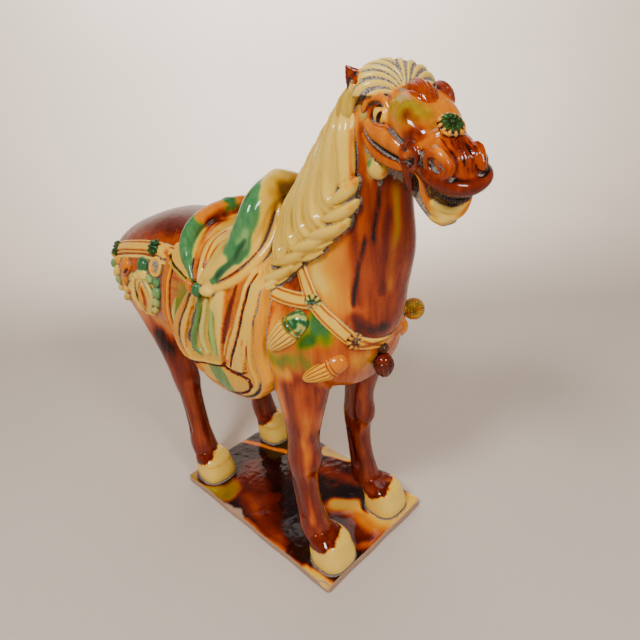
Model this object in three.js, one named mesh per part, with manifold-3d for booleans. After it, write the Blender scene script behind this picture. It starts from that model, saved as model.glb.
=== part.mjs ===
// Glazed pottery horse with saddle and harness, standing on a thin plinth.
// Millimetres, +X towards the horse's chest, +Y to its left, +Z up; the origin is at the middle of
// the plinth's underside.
import * as THREE from 'three';
import { mergeVertices } from 'three/addons/utils/BufferGeometryUtils.js';
import Module from 'manifold-3d';

// Plinth: a slab with a worn upper edge, chipped at its corners. It reaches past the hooves by these
// margins, which make it 240 long and 150 wide.
const PLINTH_BEFORE_HOOVES = 1;
const PLINTH_BEHIND_HOOVES = 6;
const PLINTH_BESIDE_HOOVES = 7;
const PLINTH_THICK = 10;
const PLINTH_WORN_EDGE = 1.6;
const PLINTH_CHIP = 4.5;
const STANDING_GAP = 0.3;

// Horse: its height from sole to forelock. The pose and the carving are laid out in 440ths of that
// height, with the soles at 0, +X forward and +Y left.
const HORSE_TALL = 440;
const SHARES_TALL = 440;

// Head: where the poll is, and how far the head turns to its right and tips down from level
const POLL = [149, 0, 434];
const HEAD_TURN_DEG = 22;
const HEAD_TIP_DEG = 26;

// Harness
const STRAP_HALF_WIDTH = 5;
const STRAP_PROUD = 2.4;
const ROSETTE_RADIUS = 6.5;
const TASSEL_RADIUS = 9;

// Saddle blanket: how far it reaches, how low it hangs, and how far its side stands from the middle
const BLANKET_REAR = -92;
const BLANKET_FRONT = 56;
const BLANKET_LOW = 163;
const BLANKET_SIDE = 69;
const BLANKET_CORNER = 26;

const FORWARD = new THREE.Vector3(1, 0, 0);
const LEFT = new THREE.Vector3(0, 1, 0);
const RIGHT = new THREE.Vector3(0, -1, 0);
const UP = new THREE.Vector3(0, 0, 1);
const RIGHT_SIDE = -1;
const LEFT_SIDE = 1;

const wasm = await Module();
wasm.setup();

// Making and joining closed solids

function solidOf(geometry) {
  const bare = geometry.clone();
  bare.deleteAttribute('normal');
  bare.deleteAttribute('uv');
  const welded = mergeVertices(bare, 1e-4);
  return new wasm.Manifold(new wasm.Mesh({
    numProp: 3,
    vertProperties: new Float32Array(welded.attributes.position.array),
    triVerts: new Uint32Array(welded.index.array),
  }));
}

function geometryOf(solid) {
  const mesh = solid.getMesh();
  const geometry = new THREE.BufferGeometry();
  geometry.setAttribute('position', new THREE.BufferAttribute(mesh.vertProperties, mesh.numProp));
  geometry.setIndex(new THREE.BufferAttribute(mesh.triVerts, 1));
  return geometry;
}

function joined(solids) {
  return solids.reduce((whole, next) => whole.add(next));
}

// A closed skin over a row of rings with equally many points, each end closed to its middle.
function ringGeometry(rings, inward) {
  const sides = rings[0].length;
  const points = rings.flat();
  const faces = [];
  const face = (a, b, c) => (inward ? faces.push(a, c, b) : faces.push(a, b, c));
  for (let r = 0; r + 1 < rings.length; r += 1) {
    for (let s = 0; s < sides; s += 1) {
      const a = r * sides + s;
      const b = r * sides + ((s + 1) % sides);
      face(a, b, a + sides);
      face(b, b + sides, a + sides);
    }
  }
  [0, rings.length - 1].forEach((r, end) => {
    const middle = rings[r].reduce((sum, p) => sum.add(p), new THREE.Vector3()).divideScalar(sides);
    const tip = points.push(middle) - 1;
    for (let s = 0; s < sides; s += 1) {
      const a = r * sides + s;
      const b = r * sides + ((s + 1) % sides);
      if (end === 0) face(b, a, tip);
      else face(a, b, tip);
    }
  });
  const geometry = new THREE.BufferGeometry().setFromPoints(points);
  geometry.setIndex(faces);
  return geometry;
}

function ringSolid(rings) {
  const solid = solidOf(ringGeometry(rings, false));
  return solid.volume() > 0 ? solid : solidOf(ringGeometry(rings, true));
}

// An oval about a middle point in the plane of two directions; a power above 2 squares it off.
function oval(middle, along, across, halfAlong, halfAcross, sides, power = 2) {
  const ring = [];
  for (let s = 0; s < sides; s += 1) {
    const turn = (2 * Math.PI * (s + 0.5)) / sides;
    const c = Math.cos(turn);
    const d = Math.sin(turn);
    const a = Math.sign(c) * Math.abs(c) ** (2 / power) * halfAlong;
    const b = Math.sign(d) * Math.abs(d) ** (2 / power) * halfAcross;
    ring.push(middle.clone().addScaledVector(along, a).addScaledVector(across, b));
  }
  return ring;
}

// A limb of level rings. A row holds the ring's x, y and z, its half length and half width.
function levelLimb(rows, sides) {
  return ringSolid(rows.map(([x, y, z, long, wide]) => (
    oval(new THREE.Vector3(x, y, z), FORWARD, LEFT, long, wide, sides))));
}

// A limb of upright rings across the middle. A row holds x, z, half height and half width.
function uprightLimb(rows, sides, power = 2) {
  return ringSolid(rows.map(([x, z, tall, wide]) => (
    oval(new THREE.Vector3(x, 0, z), LEFT, UP, wide, tall, sides, power))));
}

// A strip along a path of places, each with a point and its outward normal; the shape gives its
// half width and half thickness at a share of the way.
function strip(places, shape, sides, power = 2) {
  const rings = places.map(({ point, normal }, i) => {
    const ahead = places[Math.min(i + 1, places.length - 1)].point.clone();
    const run = ahead.sub(places[Math.max(i - 1, 0)].point).normalize();
    const across = new THREE.Vector3().crossVectors(run, normal).normalize();
    const out = new THREE.Vector3().crossVectors(across, run).normalize();
    const [half, thick] = shape(i / (places.length - 1));
    return oval(point, across, out, half, thick, sides, power);
  });
  return ringSolid(rings);
}

// A round cord of changing thickness through rows of x, y, z and radius. Its sides keep to a
// direction that no cord of this figure runs along.
const AWAY_FROM_CORDS = new THREE.Vector3(0.31, 0.27, 0.91);

function roundCord(rows, sides) {
  const places = rows.map(([x, y, z]) => ({
    point: new THREE.Vector3(x, y, z), normal: AWAY_FROM_CORDS,
  }));
  return strip(places, (share) => {
    const radius = rows[Math.round(share * (rows.length - 1))][3];
    return [radius, radius];
  }, sides);
}

function ball(x, y, z, rx, ry, rz, sides) {
  const sphere = new THREE.SphereGeometry(1, sides, Math.ceil(sides * 0.6));
  return solidOf(sphere.scale(rx, ry, rz).translate(x, y, z));
}

function mirrored(rows, side) {
  return rows.map(([x, y, ...rest]) => [x, y * side, ...rest]);
}

// Trunk, from rump to breast: x, z, half height, half width
const TRUNK = [
  [-242, 254, 6, 10],
  [-234, 253, 25, 36],
  [-214, 250, 41, 56],
  [-180, 247, 57, 65],
  [-140, 243, 70, 68],
  [-80, 238, 70, 67],
  [-20, 231, 67, 66],
  [30, 232, 68, 65],
  [75, 236, 60, 61],
  [105, 236, 46, 52],
  [124, 232, 30, 38],
  [133, 230, 8, 14],
];

// Neck, from inside the breast to the poll: x, y, z, half length, half width
const NECK = [
  [58, 0, 215, 62, 50],
  [75, 0, 250, 70, 46],
  [88, 0, 285, 66, 41],
  [101, -1, 318, 61, 37],
  [111, -3, 350, 51, 32],
  [124, -4, 380, 37, 27],
  [134, -4, 405, 27, 24],
  [139, -4, 424, 18, 18],
];

// Legs, from the body down to the pastern: x, y taken positive, z, half length, half width
const FORELEG = [
  [58, 36, 248, 44, 24],
  [70, 40, 218, 38, 24],
  [77, 44, 190, 28, 20],
  [78, 46, 162, 19.5, 16.5],
  [75, 46, 135, 15.5, 14.5],
  [73, 46, 112, 16.5, 15.5],
  [71, 46, 90, 13.5, 13],
  [72, 46, 66, 13, 12],
  [75, 46, 45, 14, 13],
  [79, 46, 29, 16.5, 15],
  [90, 45, 14, 16, 15],
];

const HINDLEG = [
  [-172, 34, 252, 52, 28],
  [-166, 38, 222, 50, 27],
  [-152, 42, 192, 38, 23],
  [-134, 46, 165, 25, 18.5],
  [-125, 48, 145, 18.5, 16],
  [-122, 48, 125, 17.5, 14.5],
  [-120, 48, 105, 14.5, 12.5],
  [-117, 48, 75, 13.5, 12],
  [-115.5, 48, 55, 14, 12.5],
  [-114, 48, 38, 16.5, 14.5],
  [-104, 48, 14, 16, 14.5],
];

// A hoof from its sole to its crown: ahead of the foot, z, half length, half width
const HOOF = [
  [9.5, 0, 19.5, 20],
  [9.5, 4, 19.5, 20],
  [6, 20, 18.5, 18],
  [3, 32, 16, 15.5],
  [1, 38, 12, 12],
];

// The left foreleg stands a little behind the right one and nearer the middle
const LEFT_FORELEG_BACK = 9;
const LEFT_FORELEG_INWARD = 4;
const FETLOCK_HIGH = 29;
const ELBOW_HIGH = 248;
const FOREARM_LONG = 98;

function setBack(rows, back, inward) {
  return rows.map(([x, y, z, ...rest]) => {
    const share = Math.min(z / FETLOCK_HIGH, (ELBOW_HIGH - z) / FOREARM_LONG, 1);
    return [x - back * share, y - inward * share, z, ...rest];
  });
}

function makeLeg(rows, side) {
  const [footX, footY] = rows[rows.length - 1];
  const leg = levelLimb(mirrored(rows, side), 8);
  const hoof = levelLimb(HOOF.map(([ahead, z, long, wide]) => (
    [footX + ahead, footY * side, z, long, wide])), 8);
  return leg.add(hoof);
}

// A short bound tail, hanging close behind the rump: x, y, z, radius
const TAIL = [
  [-226, 0, 274, 10],
  [-243, 0, 268, 9.5],
  [-251, 0, 248, 8.5],
  [-249, 0, 226, 6.5],
  [-245, 0, 208, 2.5],
];

function makeBareBody() {
  const solids = [uprightLimb(TRUNK, 16, 2.25), levelLimb(NECK, 14), roundCord(TAIL, 6)];
  const leftForeleg = setBack(FORELEG, LEFT_FORELEG_BACK, LEFT_FORELEG_INWARD);
  solids.push(makeLeg(FORELEG, RIGHT_SIDE), makeLeg(leftForeleg, LEFT_SIDE));
  solids.push(makeLeg(HINDLEG, RIGHT_SIDE), makeLeg(HINDLEG, LEFT_SIDE));
  return joined(solids);
}

// A finder of places on a body's skin: the outermost point met from an inner point in a direction.
function skinFinder(solid) {
  const material = new THREE.MeshBasicMaterial({ side: THREE.DoubleSide });
  const mesh = new THREE.Mesh(geometryOf(solid), material);
  const caster = new THREE.Raycaster();
  return (from, towards, lift = 0) => {
    caster.set(from, towards);
    const hits = caster.intersectObject(mesh, false);
    const point = hits.length > 0 ? hits[hits.length - 1].point : from.clone();
    return { point: point.addScaledVector(towards, lift), normal: towards };
  };
}

// Rows around the trunk, x and degrees from the top down towards a side, set on the skin.
const TRUNK_AXIS_Z = 236;

function aroundTrunk(skin, rows, side, lift = 0) {
  return rows.map(([x, degrees]) => {
    const turn = THREE.MathUtils.degToRad(degrees);
    const towards = new THREE.Vector3(0, Math.sin(turn) * side, Math.cos(turn));
    return skin(new THREE.Vector3(x, 0, TRUNK_AXIS_Z), towards, lift);
  });
}

// Rows around the neck and breast, z and degrees from the front back towards a side, set on the
// skin about a line that leans forward as the neck does.
const NECK_FOOT_X = 60;
const NECK_FOOT_Z = 215;
const NECK_LEAN = 0.37;

function aroundNeck(skin, rows, side, lift = 0) {
  return rows.map(([z, degrees]) => {
    const turn = THREE.MathUtils.degToRad(degrees);
    const towards = new THREE.Vector3(Math.cos(turn), Math.sin(turn) * side, 0);
    const axisX = NECK_FOOT_X + Math.max(z - NECK_FOOT_Z, 0) * NECK_LEAN;
    return skin(new THREE.Vector3(axisX, 0, z), towards, lift);
  });
}

// Saddle blanket: upright sections along the horse, each following the back and hanging straight
// down the side to a lower edge that is rounded at its corners. The section is given from its lower
// edge up: inward from the side, and height, which for the first two is above the lower edge.
const BLANKET_SECTION = [
  [26, 8],
  [2, 0],
  [0, 245],
  [5, 268],
  [20, 290],
  [40, 301],
  [61, 305],
];
const BLANKET_SECTIONS = 10;
const BLANKET_FRONT_HIGHER = 8;

function makeBlanket() {
  const rings = [];
  for (let i = 0; i < BLANKET_SECTIONS; i += 1) {
    const share = i / (BLANKET_SECTIONS - 1);
    const x = BLANKET_REAR + (BLANKET_FRONT - BLANKET_REAR) * share;
    const inset = Math.min(x - BLANKET_REAR, BLANKET_FRONT - x, BLANKET_CORNER);
    const rise = BLANKET_CORNER - Math.sqrt(inset * (2 * BLANKET_CORNER - inset));
    const low = BLANKET_LOW + rise + BLANKET_FRONT_HIGHER * share;
    const half = (side) => BLANKET_SECTION.map(([inward, z], row) => (
      new THREE.Vector3(x, (BLANKET_SIDE - inward) * side, row < 2 ? low + z : z)));
    rings.push([...half(RIGHT_SIDE), ...half(LEFT_SIDE).reverse()]);
  }
  return ringSolid(rings);
}

// Saddle: seat, arched pommel and cantle, each with a padded roll gathered into a knot at the side
const SEAT = [
  [-64, 286, 32, 52],
  [-42, 286, 28, 60],
  [-8, 285, 28, 62],
  [16, 288, 32, 58],
  [34, 292, 38, 48],
];
const POMMEL_ROLL = [
  [-16, 67, 277, 5],
  [6, 63, 290, 8],
  [22, 53, 308, 10],
  [27, 40, 330, 10],
  [25, 22, 349, 9],
  [24, 0, 357, 9],
];
const CANTLE_ROLL = [
  [-24, 67, 276, 5],
  [-42, 63, 284, 6.5],
  [-54, 57, 298, 7.5],
  [-59, 46, 315, 7],
  [-58, 22, 327, 6.5],
  [-57, 0, 329, 6.5],
];
const POMMEL_PLATE = [
  [20, 316, 38, 40],
  [37, 314, 34, 36],
];
const CANTLE_PLATE = [
  [-63, 296, 30, 50],
  [-50, 294, 28, 50],
];
const KNOT = [-21, 68, 275];

function makeSaddle() {
  const solids = [SEAT, POMMEL_PLATE, CANTLE_PLATE].map((rows) => uprightLimb(rows, 12));
  for (const side of [RIGHT_SIDE, LEFT_SIDE]) {
    solids.push(roundCord(mirrored(POMMEL_ROLL, side), 7));
    solids.push(roundCord(mirrored(CANTLE_ROLL, side), 6));
    solids.push(ball(KNOT[0], KNOT[1] * side, KNOT[2], 7, 5, 6, 6));
  }
  return joined(solids);
}

// The cover's ends hang in pleats that fan out below the knot: foot's x, half width
const PLEATS = [
  [-80, 6],
  [-66, 5.5],
  [-52, 6],
  [-38, 5],
  [-24, 6],
  [-8, 7],
];
const PLEAT_LOW = 204;

function makePleats(side) {
  return joined(PLEATS.map(([footX, half]) => {
    const places = [0, 0.35, 1].map((share) => ({
      point: new THREE.Vector3(
        KNOT[0] + (footX - KNOT[0]) * share ** 0.8,
        (BLANKET_SIDE + 1.5 * share) * side,
        KNOT[2] + (PLEAT_LOW - KNOT[2]) * share,
      ),
      normal: new THREE.Vector3(0, side, 0),
    }));
    return strip(places, (share) => [3 + half * share, 3 + share], 4);
  }));
}

// Upright bands on the blanket: x of its middle at the top and at the foot, half width
const BLANKET_BANDS = [
  [56, 53, 5.5],
  [36, 14, 3],
];

function makeBlanketBands(skin, side) {
  return joined(BLANKET_BANDS.map(([topX, footX, half]) => {
    const rows = [[topX, 48], [topX, 75], [(topX + footX) / 2, 95], [footX, 122]];
    return strip(aroundTrunk(skin, rows, side), () => [half, 2], 6, 4);
  }));
}

// Breast strap and crupper straps
const BREAST_STRAP = [
  [313, 116],
  [295, 90],
  [276, 70],
  [261, 42],
  [245, 25],
  [233, -8],
];
const SHOULDER_STRAP = [
  [58, 50],
  [74, 55],
  [92, 60],
];
const CRUPPER_STRAP = [
  [-90, 48],
  [-126, 50],
  [-165, 56],
  [-200, 62],
  [-226, 60],
];

function strapShape() {
  return [STRAP_HALF_WIDTH, STRAP_PROUD];
}

// A flower of low petals about its middle, standing on the skin.
function rosette({ point, normal }, radius, petals) {
  const level = Math.abs(normal.z) > 0.9 ? FORWARD : UP;
  const along = new THREE.Vector3().crossVectors(normal, level).normalize();
  const across = new THREE.Vector3().crossVectors(normal, along).normalize();
  const sides = petals * 2;
  const rings = [[-3, 1], [2.4, 0.92]].map(([height, share]) => {
    const ring = [];
    for (let s = 0; s < sides; s += 1) {
      const turn = (2 * Math.PI * s) / sides;
      const reach = radius * share * (s % 2 ? 0.84 : 1);
      ring.push(point.clone().addScaledVector(normal, height)
        .addScaledVector(along, Math.cos(turn) * reach)
        .addScaledVector(across, Math.sin(turn) * reach));
    }
    return ring;
  });
  return ringSolid(rings);
}

// An acorn-shaped tassel from its cap to its tip: share of its length, share of its radius
const TASSEL_PROFILE = [
  [0, 0.5],
  [0.3, 1],
  [0.36, 0.86],
  [0.7, 0.72],
  [1, 0.12],
];

function tassel(from, towards, normal, long) {
  const side = new THREE.Vector3().crossVectors(towards, normal).normalize();
  const out = new THREE.Vector3().crossVectors(side, towards).normalize();
  return ringSolid(TASSEL_PROFILE.map(([share, reach]) => (
    oval(from.clone().addScaledVector(towards, share * long), side, out,
      reach * TASSEL_RADIUS, reach * TASSEL_RADIUS * 0.85, 7))));
}

// Tassels on the breast: cap's z and turn from the front, tip's z and turn
const TASSELS = [
  [263, 77, 235, 92],
  [230, 33, 211, 58],
];
const BREAST_BELL_Z = 214;

function makeBreastHarness(skin, side) {
  const solids = [
    strip(aroundNeck(skin, BREAST_STRAP, side), strapShape, 6, 4),
    strip(aroundTrunk(skin, SHOULDER_STRAP, side), strapShape, 6, 4),
  ];
  for (const [z, degrees] of [[276, 70], [245, 25]]) {
    const [place] = aroundNeck(skin, [[z, degrees]], side, 1.5);
    solids.push(rosette(place, ROSETTE_RADIUS, 8));
  }
  for (const [capZ, capTurn, tipZ, tipTurn] of TASSELS) {
    const [cap] = aroundNeck(skin, [[capZ, capTurn]], side, TASSEL_RADIUS * 0.3);
    const [tip] = aroundNeck(skin, [[tipZ, tipTurn]], side, TASSEL_RADIUS * 0.2);
    const hang = tip.point.clone().sub(cap.point);
    solids.push(tassel(cap.point, hang.clone().normalize(), cap.normal, hang.length()));
  }
  return joined(solids);
}

// A leaf-shaped pendant that hangs from the crupper strap.
function pendant({ point, normal }, long, half) {
  const foot = point.clone().addScaledVector(UP, -long);
  const middle = point.clone().lerp(foot, 0.5);
  const places = [point, middle, foot].map((p) => ({ point: p, normal }));
  return strip(places, (share) => [1.3 * half * (1 - 0.75 * Math.abs(share - 0.45)), 4.2], 4);
}

function makeCrupper(skin, side) {
  const solids = [strip(aroundTrunk(skin, CRUPPER_STRAP, side), strapShape, 6, 4)];
  for (const [x, degrees, long, half] of [[-108, 56, 18, 6], [-126, 60, 40, 8], [-150, 60, 16, 6],
    [-172, 66, 34, 7], [-192, 68, 16, 6], [-208, 72, 34, 7]]) {
    const [place] = aroundTrunk(skin, [[x, degrees]], side, 0.5);
    solids.push(pendant(place, long, half));
  }
  const [flower] = aroundTrunk(skin, [[-126, 50]], side, 1.5);
  solids.push(rosette(flower, ROSETTE_RADIUS, 8));
  return joined(solids);
}

// Mane: locks combed to the right that overlap down the neck, each falling from the crest and
// curling forward to its tip. Crest x and z, tip x and z
const LOCKS = [
  [134, 412, 133, 366],
  [126, 408, 130, 351],
  [117, 400, 127, 337],
  [106, 390, 114, 322],
  [93, 379, 99, 313],
  [81, 366, 87, 305],
  [69, 351, 70, 295],
  [57, 335, 64, 284],
  [46, 318, 47, 279],
];
const LOCK_HALF = 11;
const LOCK_THICK = 5.5;

function makeMane(skin) {
  return joined(LOCKS.map(([crestX, crestZ, tipX, tipZ]) => {
    const fall = crestZ - tipZ;
    const curl = tipX - crestX;
    const rows = [[crestX - 2, crestZ], [crestX - 4, crestZ - fall * 0.4],
      [crestX - 1 + curl * 0.2, crestZ - fall * 0.8], [tipX + 6, tipZ]];
    const places = rows.map(([x, z]) => skin(new THREE.Vector3(x, 0, z), RIGHT, 1));
    return strip(places, (share) => [
      LOCK_HALF * (1 - 0.7 * share ** 4), LOCK_THICK * (1 - 0.5 * share ** 4)], 6);
  }));
}

// Head, in its own frame: +X from the poll along the face, +Y to its left, +Z out of the face.
// Rows: x, z, half height, half width
const SKULL = [
  [-14, -26, 14, 16],
  [-4, -26, 24, 22],
  [12, -26, 27, 25],
  [30, -25, 26.5, 25],
  [45, -21, 21.5, 21],
  [58, -17, 17, 17],
  [70, -14.5, 15.5, 16.5],
  [82, -15, 12.5, 18],
  [91, -17, 9, 17.5],
  [97, -18.5, 5, 12],
];
const LOWER_JAW = [
  [26, -42, 10, 18],
  [45, -40, 9.5, 14],
  [62, -40.5, 8, 12.5],
  [76, -43, 6.5, 12.5],
  [86, -46, 5, 11],
  [92, -48, 3, 7],
];
const TEETH = [
  [62, -32, 6, 10],
  [80, -33, 6, 12],
  [89, -36, 5, 8],
];
const BROW = [
  [16, 21, -16, 3],
  [20, 22.5, -6, 3.4],
  [33, 21.5, -5, 3.2],
  [39, 20, -13, 2],
];
const CHEEK_RIDGE = [
  [20, 24, -22, 2.5],
  [40, 22.5, -26, 3.6],
  [60, 17, -25, 2],
];
const JAW_RIDGE = [
  [14, 24, -30, 2.5],
  [38, 22.5, -34.5, 3.3],
  [60, 16, -31, 2],
];
const NOSEBAND = [
  [68, 0, 0, 3],
  [66, 14, -7, 3],
  [62, 18, -24, 3.4],
  [64, 17, -39, 3.4],
];
const UPPER_LIP = [
  [77, 19, -24, 3],
  [90, 18, -22, 3.6],
  [98, 9, -20, 4],
  [100, 0, -19, 4],
];
const EAR = [
  [2, 19, -10, 7],
  [-3, 24, -5, 5.5],
  [-6, 28, -1, 3],
  [-7, 30, 2, 1],
];
const FORELOCK_GROOVES = 11;

function makeForelock() {
  const dome = new THREE.SphereGeometry(1, 2 * FORELOCK_GROOVES, 4);
  dome.rotateX(Math.PI / 2);
  const places = dome.attributes.position;
  for (let i = 0; i < places.count; i += 1) {
    const turn = Math.atan2(places.getY(i), places.getX(i) - 0.25);
    const reach = Math.hypot(places.getX(i), places.getY(i));
    const swell = 1 + 0.05 * reach * Math.cos(turn * FORELOCK_GROOVES);
    places.setXYZ(i, places.getX(i) * swell, places.getY(i) * swell, places.getZ(i) * swell);
  }
  return solidOf(dome.scale(25, 27, 13).rotateY(0.25).translate(3, 0, -8));
}

function makeHead() {
  const solids = [uprightLimb(SKULL, 11), uprightLimb(LOWER_JAW, 8), uprightLimb(TEETH, 6)];
  solids.push(makeForelock());
  solids.push(ball(37, 0, 0, 9, 5, 5, 6));
  for (const side of [RIGHT_SIDE, LEFT_SIDE]) {
    for (const rows of [BROW, CHEEK_RIDGE, JAW_RIDGE, NOSEBAND, UPPER_LIP]) {
      solids.push(roundCord(mirrored(rows, side), 5));
    }
    solids.push(ball(28, 18.5 * side, -12, 8, 6.5, 6.5, 6));
    solids.push(ball(33, 19 * side, -48, 10, 7, 9, 6));
    solids.push(roundCord(mirrored(EAR, side), 6));
    const nostril = new THREE.TorusGeometry(5.2, 2.4, 4, 8);
    nostril.rotateX(-1.15 * side).rotateY(0.35).translate(85, 16.5 * side, -9.5);
    solids.push(solidOf(nostril));
  }
  const nose = { point: new THREE.Vector3(68, 0, 1.5), normal: UP };
  const face = joined(solids).add(rosette(nose, ROSETTE_RADIUS + 1, 9));
  const pose = new THREE.Matrix4().makeTranslation(...POLL)
    .multiply(new THREE.Matrix4().makeRotationZ(-THREE.MathUtils.degToRad(HEAD_TURN_DEG)))
    .multiply(new THREE.Matrix4().makeRotationY(THREE.MathUtils.degToRad(HEAD_TIP_DEG)));
  return face.transform(pose.elements);
}

// The two pieces

// A bell under the middle of the breast strap
function makeBreastBell(skin) {
  const [place] = aroundNeck(skin, [[BREAST_BELL_Z, 0]], LEFT_SIDE, 3);
  return ball(place.point.x, 0, place.point.z, 7.5, 7.5, 8.5, 10);
}

function makeHorse() {
  const bare = makeBareBody();
  const dressed = joined([bare, makeBlanket(), makeSaddle()]);
  const neckSkin = skinFinder(bare);
  const trunkSkin = skinFinder(dressed);
  const solids = [dressed, makeHead(), makeMane(neckSkin), makeBreastBell(neckSkin)];
  for (const side of [RIGHT_SIDE, LEFT_SIDE]) {
    solids.push(makePleats(side), makeBlanketBands(trunkSkin, side));
    solids.push(makeBreastHarness(neckSkin, side), makeCrupper(trunkSkin, side));
  }
  const geometry = geometryOf(joined(solids));
  const share = HORSE_TALL / SHARES_TALL;
  geometry.scale(share, share, share);
  const figure = new THREE.Mesh(geometry, new THREE.MeshStandardMaterial({
    color: 0x9a4a14, roughness: 0.25, metalness: 0,
  }));
  figure.name = 'horse';
  return figure;
}

// How far the hooves reach forward, back and to a side
function stance() {
  const [[ahead, , halfLong, halfWide]] = HOOF;
  const [foreX] = FORELEG[FORELEG.length - 1];
  const [hindX, hindY] = HINDLEG[HINDLEG.length - 1];
  const share = HORSE_TALL / SHARES_TALL;
  return {
    front: (foreX + ahead + halfLong) * share,
    back: (hindX + ahead - halfLong) * share,
    side: (hindY + halfWide) * share,
  };
}

// The slab's outline, going round, with each corner broken off by its share of the chip
const CORNERS = [
  [1, -1, 1],
  [1, 1, 0.5],
  [-1, 1, 0.8],
  [-1, -1, 0.4],
];

function plinthOutline(halfLong, halfWide, z, inset) {
  return CORNERS.flatMap(([x, y, share]) => {
    const cut = PLINTH_CHIP * share;
    const long = halfLong - inset;
    const wide = halfWide - inset;
    const alongX = new THREE.Vector3(x * (long - cut), y * wide, z);
    const alongY = new THREE.Vector3(x * long, y * (wide - cut), z);
    return x * y < 0 ? [alongX, alongY] : [alongY, alongX];
  });
}

function makePlinth(front, back, side) {
  const halfLong = (front - back) / 2;
  const shoulder = PLINTH_THICK - PLINTH_WORN_EDGE;
  const slab = ringSolid([
    plinthOutline(halfLong, side, 0, 0),
    plinthOutline(halfLong, side, shoulder, 0),
    plinthOutline(halfLong, side, PLINTH_THICK, PLINTH_WORN_EDGE),
  ]);
  const plinth = new THREE.Mesh(geometryOf(slab), new THREE.MeshStandardMaterial({
    color: 0x5a2c18, roughness: 0.35, metalness: 0,
  }));
  plinth.name = 'plinth';
  return plinth;
}

const { front, back, side } = stance();
const plinthFront = front + PLINTH_BEFORE_HOOVES;
const plinthBack = back - PLINTH_BEHIND_HOOVES;
const horse = makeHorse();
horse.position.set(-(plinthFront + plinthBack) / 2, 0, PLINTH_THICK + STANDING_GAP);

const statue = new THREE.Group();
statue.add(horse, makePlinth(plinthFront, plinthBack, side + PLINTH_BESIDE_HOOVES));

export default statue;
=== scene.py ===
import math

import bpy
import numpy as np
import openvdb
from mathutils import Euler, Matrix, Vector


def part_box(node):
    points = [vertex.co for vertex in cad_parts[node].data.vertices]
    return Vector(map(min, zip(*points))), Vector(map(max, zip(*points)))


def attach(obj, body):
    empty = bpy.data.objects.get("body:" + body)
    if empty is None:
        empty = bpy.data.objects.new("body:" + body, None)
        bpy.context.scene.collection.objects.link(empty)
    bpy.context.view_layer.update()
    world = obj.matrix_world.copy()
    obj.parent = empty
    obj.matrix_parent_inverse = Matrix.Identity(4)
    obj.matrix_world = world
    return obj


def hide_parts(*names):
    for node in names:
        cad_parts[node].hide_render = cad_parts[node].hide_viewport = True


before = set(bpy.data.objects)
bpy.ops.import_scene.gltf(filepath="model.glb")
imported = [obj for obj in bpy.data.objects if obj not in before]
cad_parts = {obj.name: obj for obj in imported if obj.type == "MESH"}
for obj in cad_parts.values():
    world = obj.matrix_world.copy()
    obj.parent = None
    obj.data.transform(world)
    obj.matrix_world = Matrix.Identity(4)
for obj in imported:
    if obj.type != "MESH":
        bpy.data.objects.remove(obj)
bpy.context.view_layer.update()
HORSE_LOW, HORSE_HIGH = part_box("horse")
PLINTH_LOW, PLINTH_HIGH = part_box("plinth")

bl_info = {"name": "Glazed Tomb Horse", "version": (1, 0, 0), "blender": (4, 5, 0),
    "location": "View3D > Sidebar > Tomb Horse",
    "description": "A lead-glazed pottery horse with saddle and harness on a thin plinth",
    "category": "Object",}

# The shapes are modelled in millimetres above the soles and brought to the frame's metres at the end
MODELLED_TALL = 443.9
FAR = 40.0
EDGE = 1.3
RIGHT, LEFT = -1, 1
MOST_FACES = 175000
# Middle, half length and foot of the part of the trunk under the blankets
COVERED = (-15, 62, 190)

# Glazes as thickness of iron, thickness of copper and soil left on them
CREAM, GOLD, HONEY, AMBER = (0.04, 0.0), (0.13, 0.0), (0.26, 0.0), (0.42, 0.0)
ORANGE, RED, PLUM, DARK = (0.55, 0.0), (0.7, 0.0), (0.82, 0.0), (0.94, 0.0)
PALE_GREEN, GREEN = (0.05, 0.26), (0.06, 0.6)
OLIVE, SAGE = (0.26, 0.4), (0.12, 0.16)
# The teeth's glaze on the next line is near black: painted shade under the upper lip
LEG_RED, BRIDLE_RED, SHADED_TOOTH = (0.75, 0.0), (0.76, 0.0), (0.92, 0.0, 0.1)
# The first glaze on the next line is near black: painted shade in scored lines, grooves and cuts, and also
# the dark dots on the blanket's cream band
NEAR_BLACK_AND_SHADE, GREY, WEATHERED = (0.96, 0.0, 0.2), (0.2, 0.0, 0.85), (0.82, 0.0, 0.26)


def table(text):
    """Rows of numbers from a text with commas between the rows."""
    return [[float(word) for word in row.split()] for row in text.split(",")]


def linear(code):
    """An sRGB hex colour as linear red, green, blue."""
    parts = [int(code[i:i + 2], 16) / 255 for i in (1, 3, 5)]
    return [p / 12.92 if p <= 0.04045 else ((p + 0.055) / 1.055) ** 2.4 for p in parts]


# Working clay: distances to a surface held on a grid


def cells_round(base, t):
    """The eight cells round each place, and how much each one counts."""
    for corner in range(8):
        bits = [(corner >> k) & 1 for k in range(3)]
        yield base + bits, np.prod([t[:, k] if bits[k] else 1 - t[:, k] for k in range(3)], axis=0)


def through(at, known, rows):
    """Rows of values eased through the known places."""
    at = np.clip(at, known[0], known[-1])
    slope = np.gradient(rows, known, axis=0)
    i = np.clip(np.searchsorted(known, at) - 1, 0, len(known) - 2)
    step = (known[i + 1] - known[i])[:, None]
    t = (at[:, None] - known[i][:, None]) / step
    keep = (1 + 2 * t) * (1 - t) ** 2
    return (keep * rows[i] + (1 - keep) * rows[i + 1] + step * (t * (1 - t) ** 2 * slope[i] - t * t
        * (1 - t) * slope[i + 1]))


def eased(rows, step=2.5):
    """A smooth path through rows that begin with x, y, z, one place every few millimetres."""
    rows = np.array(rows, float)
    at = np.concatenate([[0], np.cumsum(np.linalg.norm(np.diff(rows[:, :3], axis=0), axis=1))])
    return through(np.linspace(0, at[-1], max(3, int(at[-1] / step) + 1)), at, rows)


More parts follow.
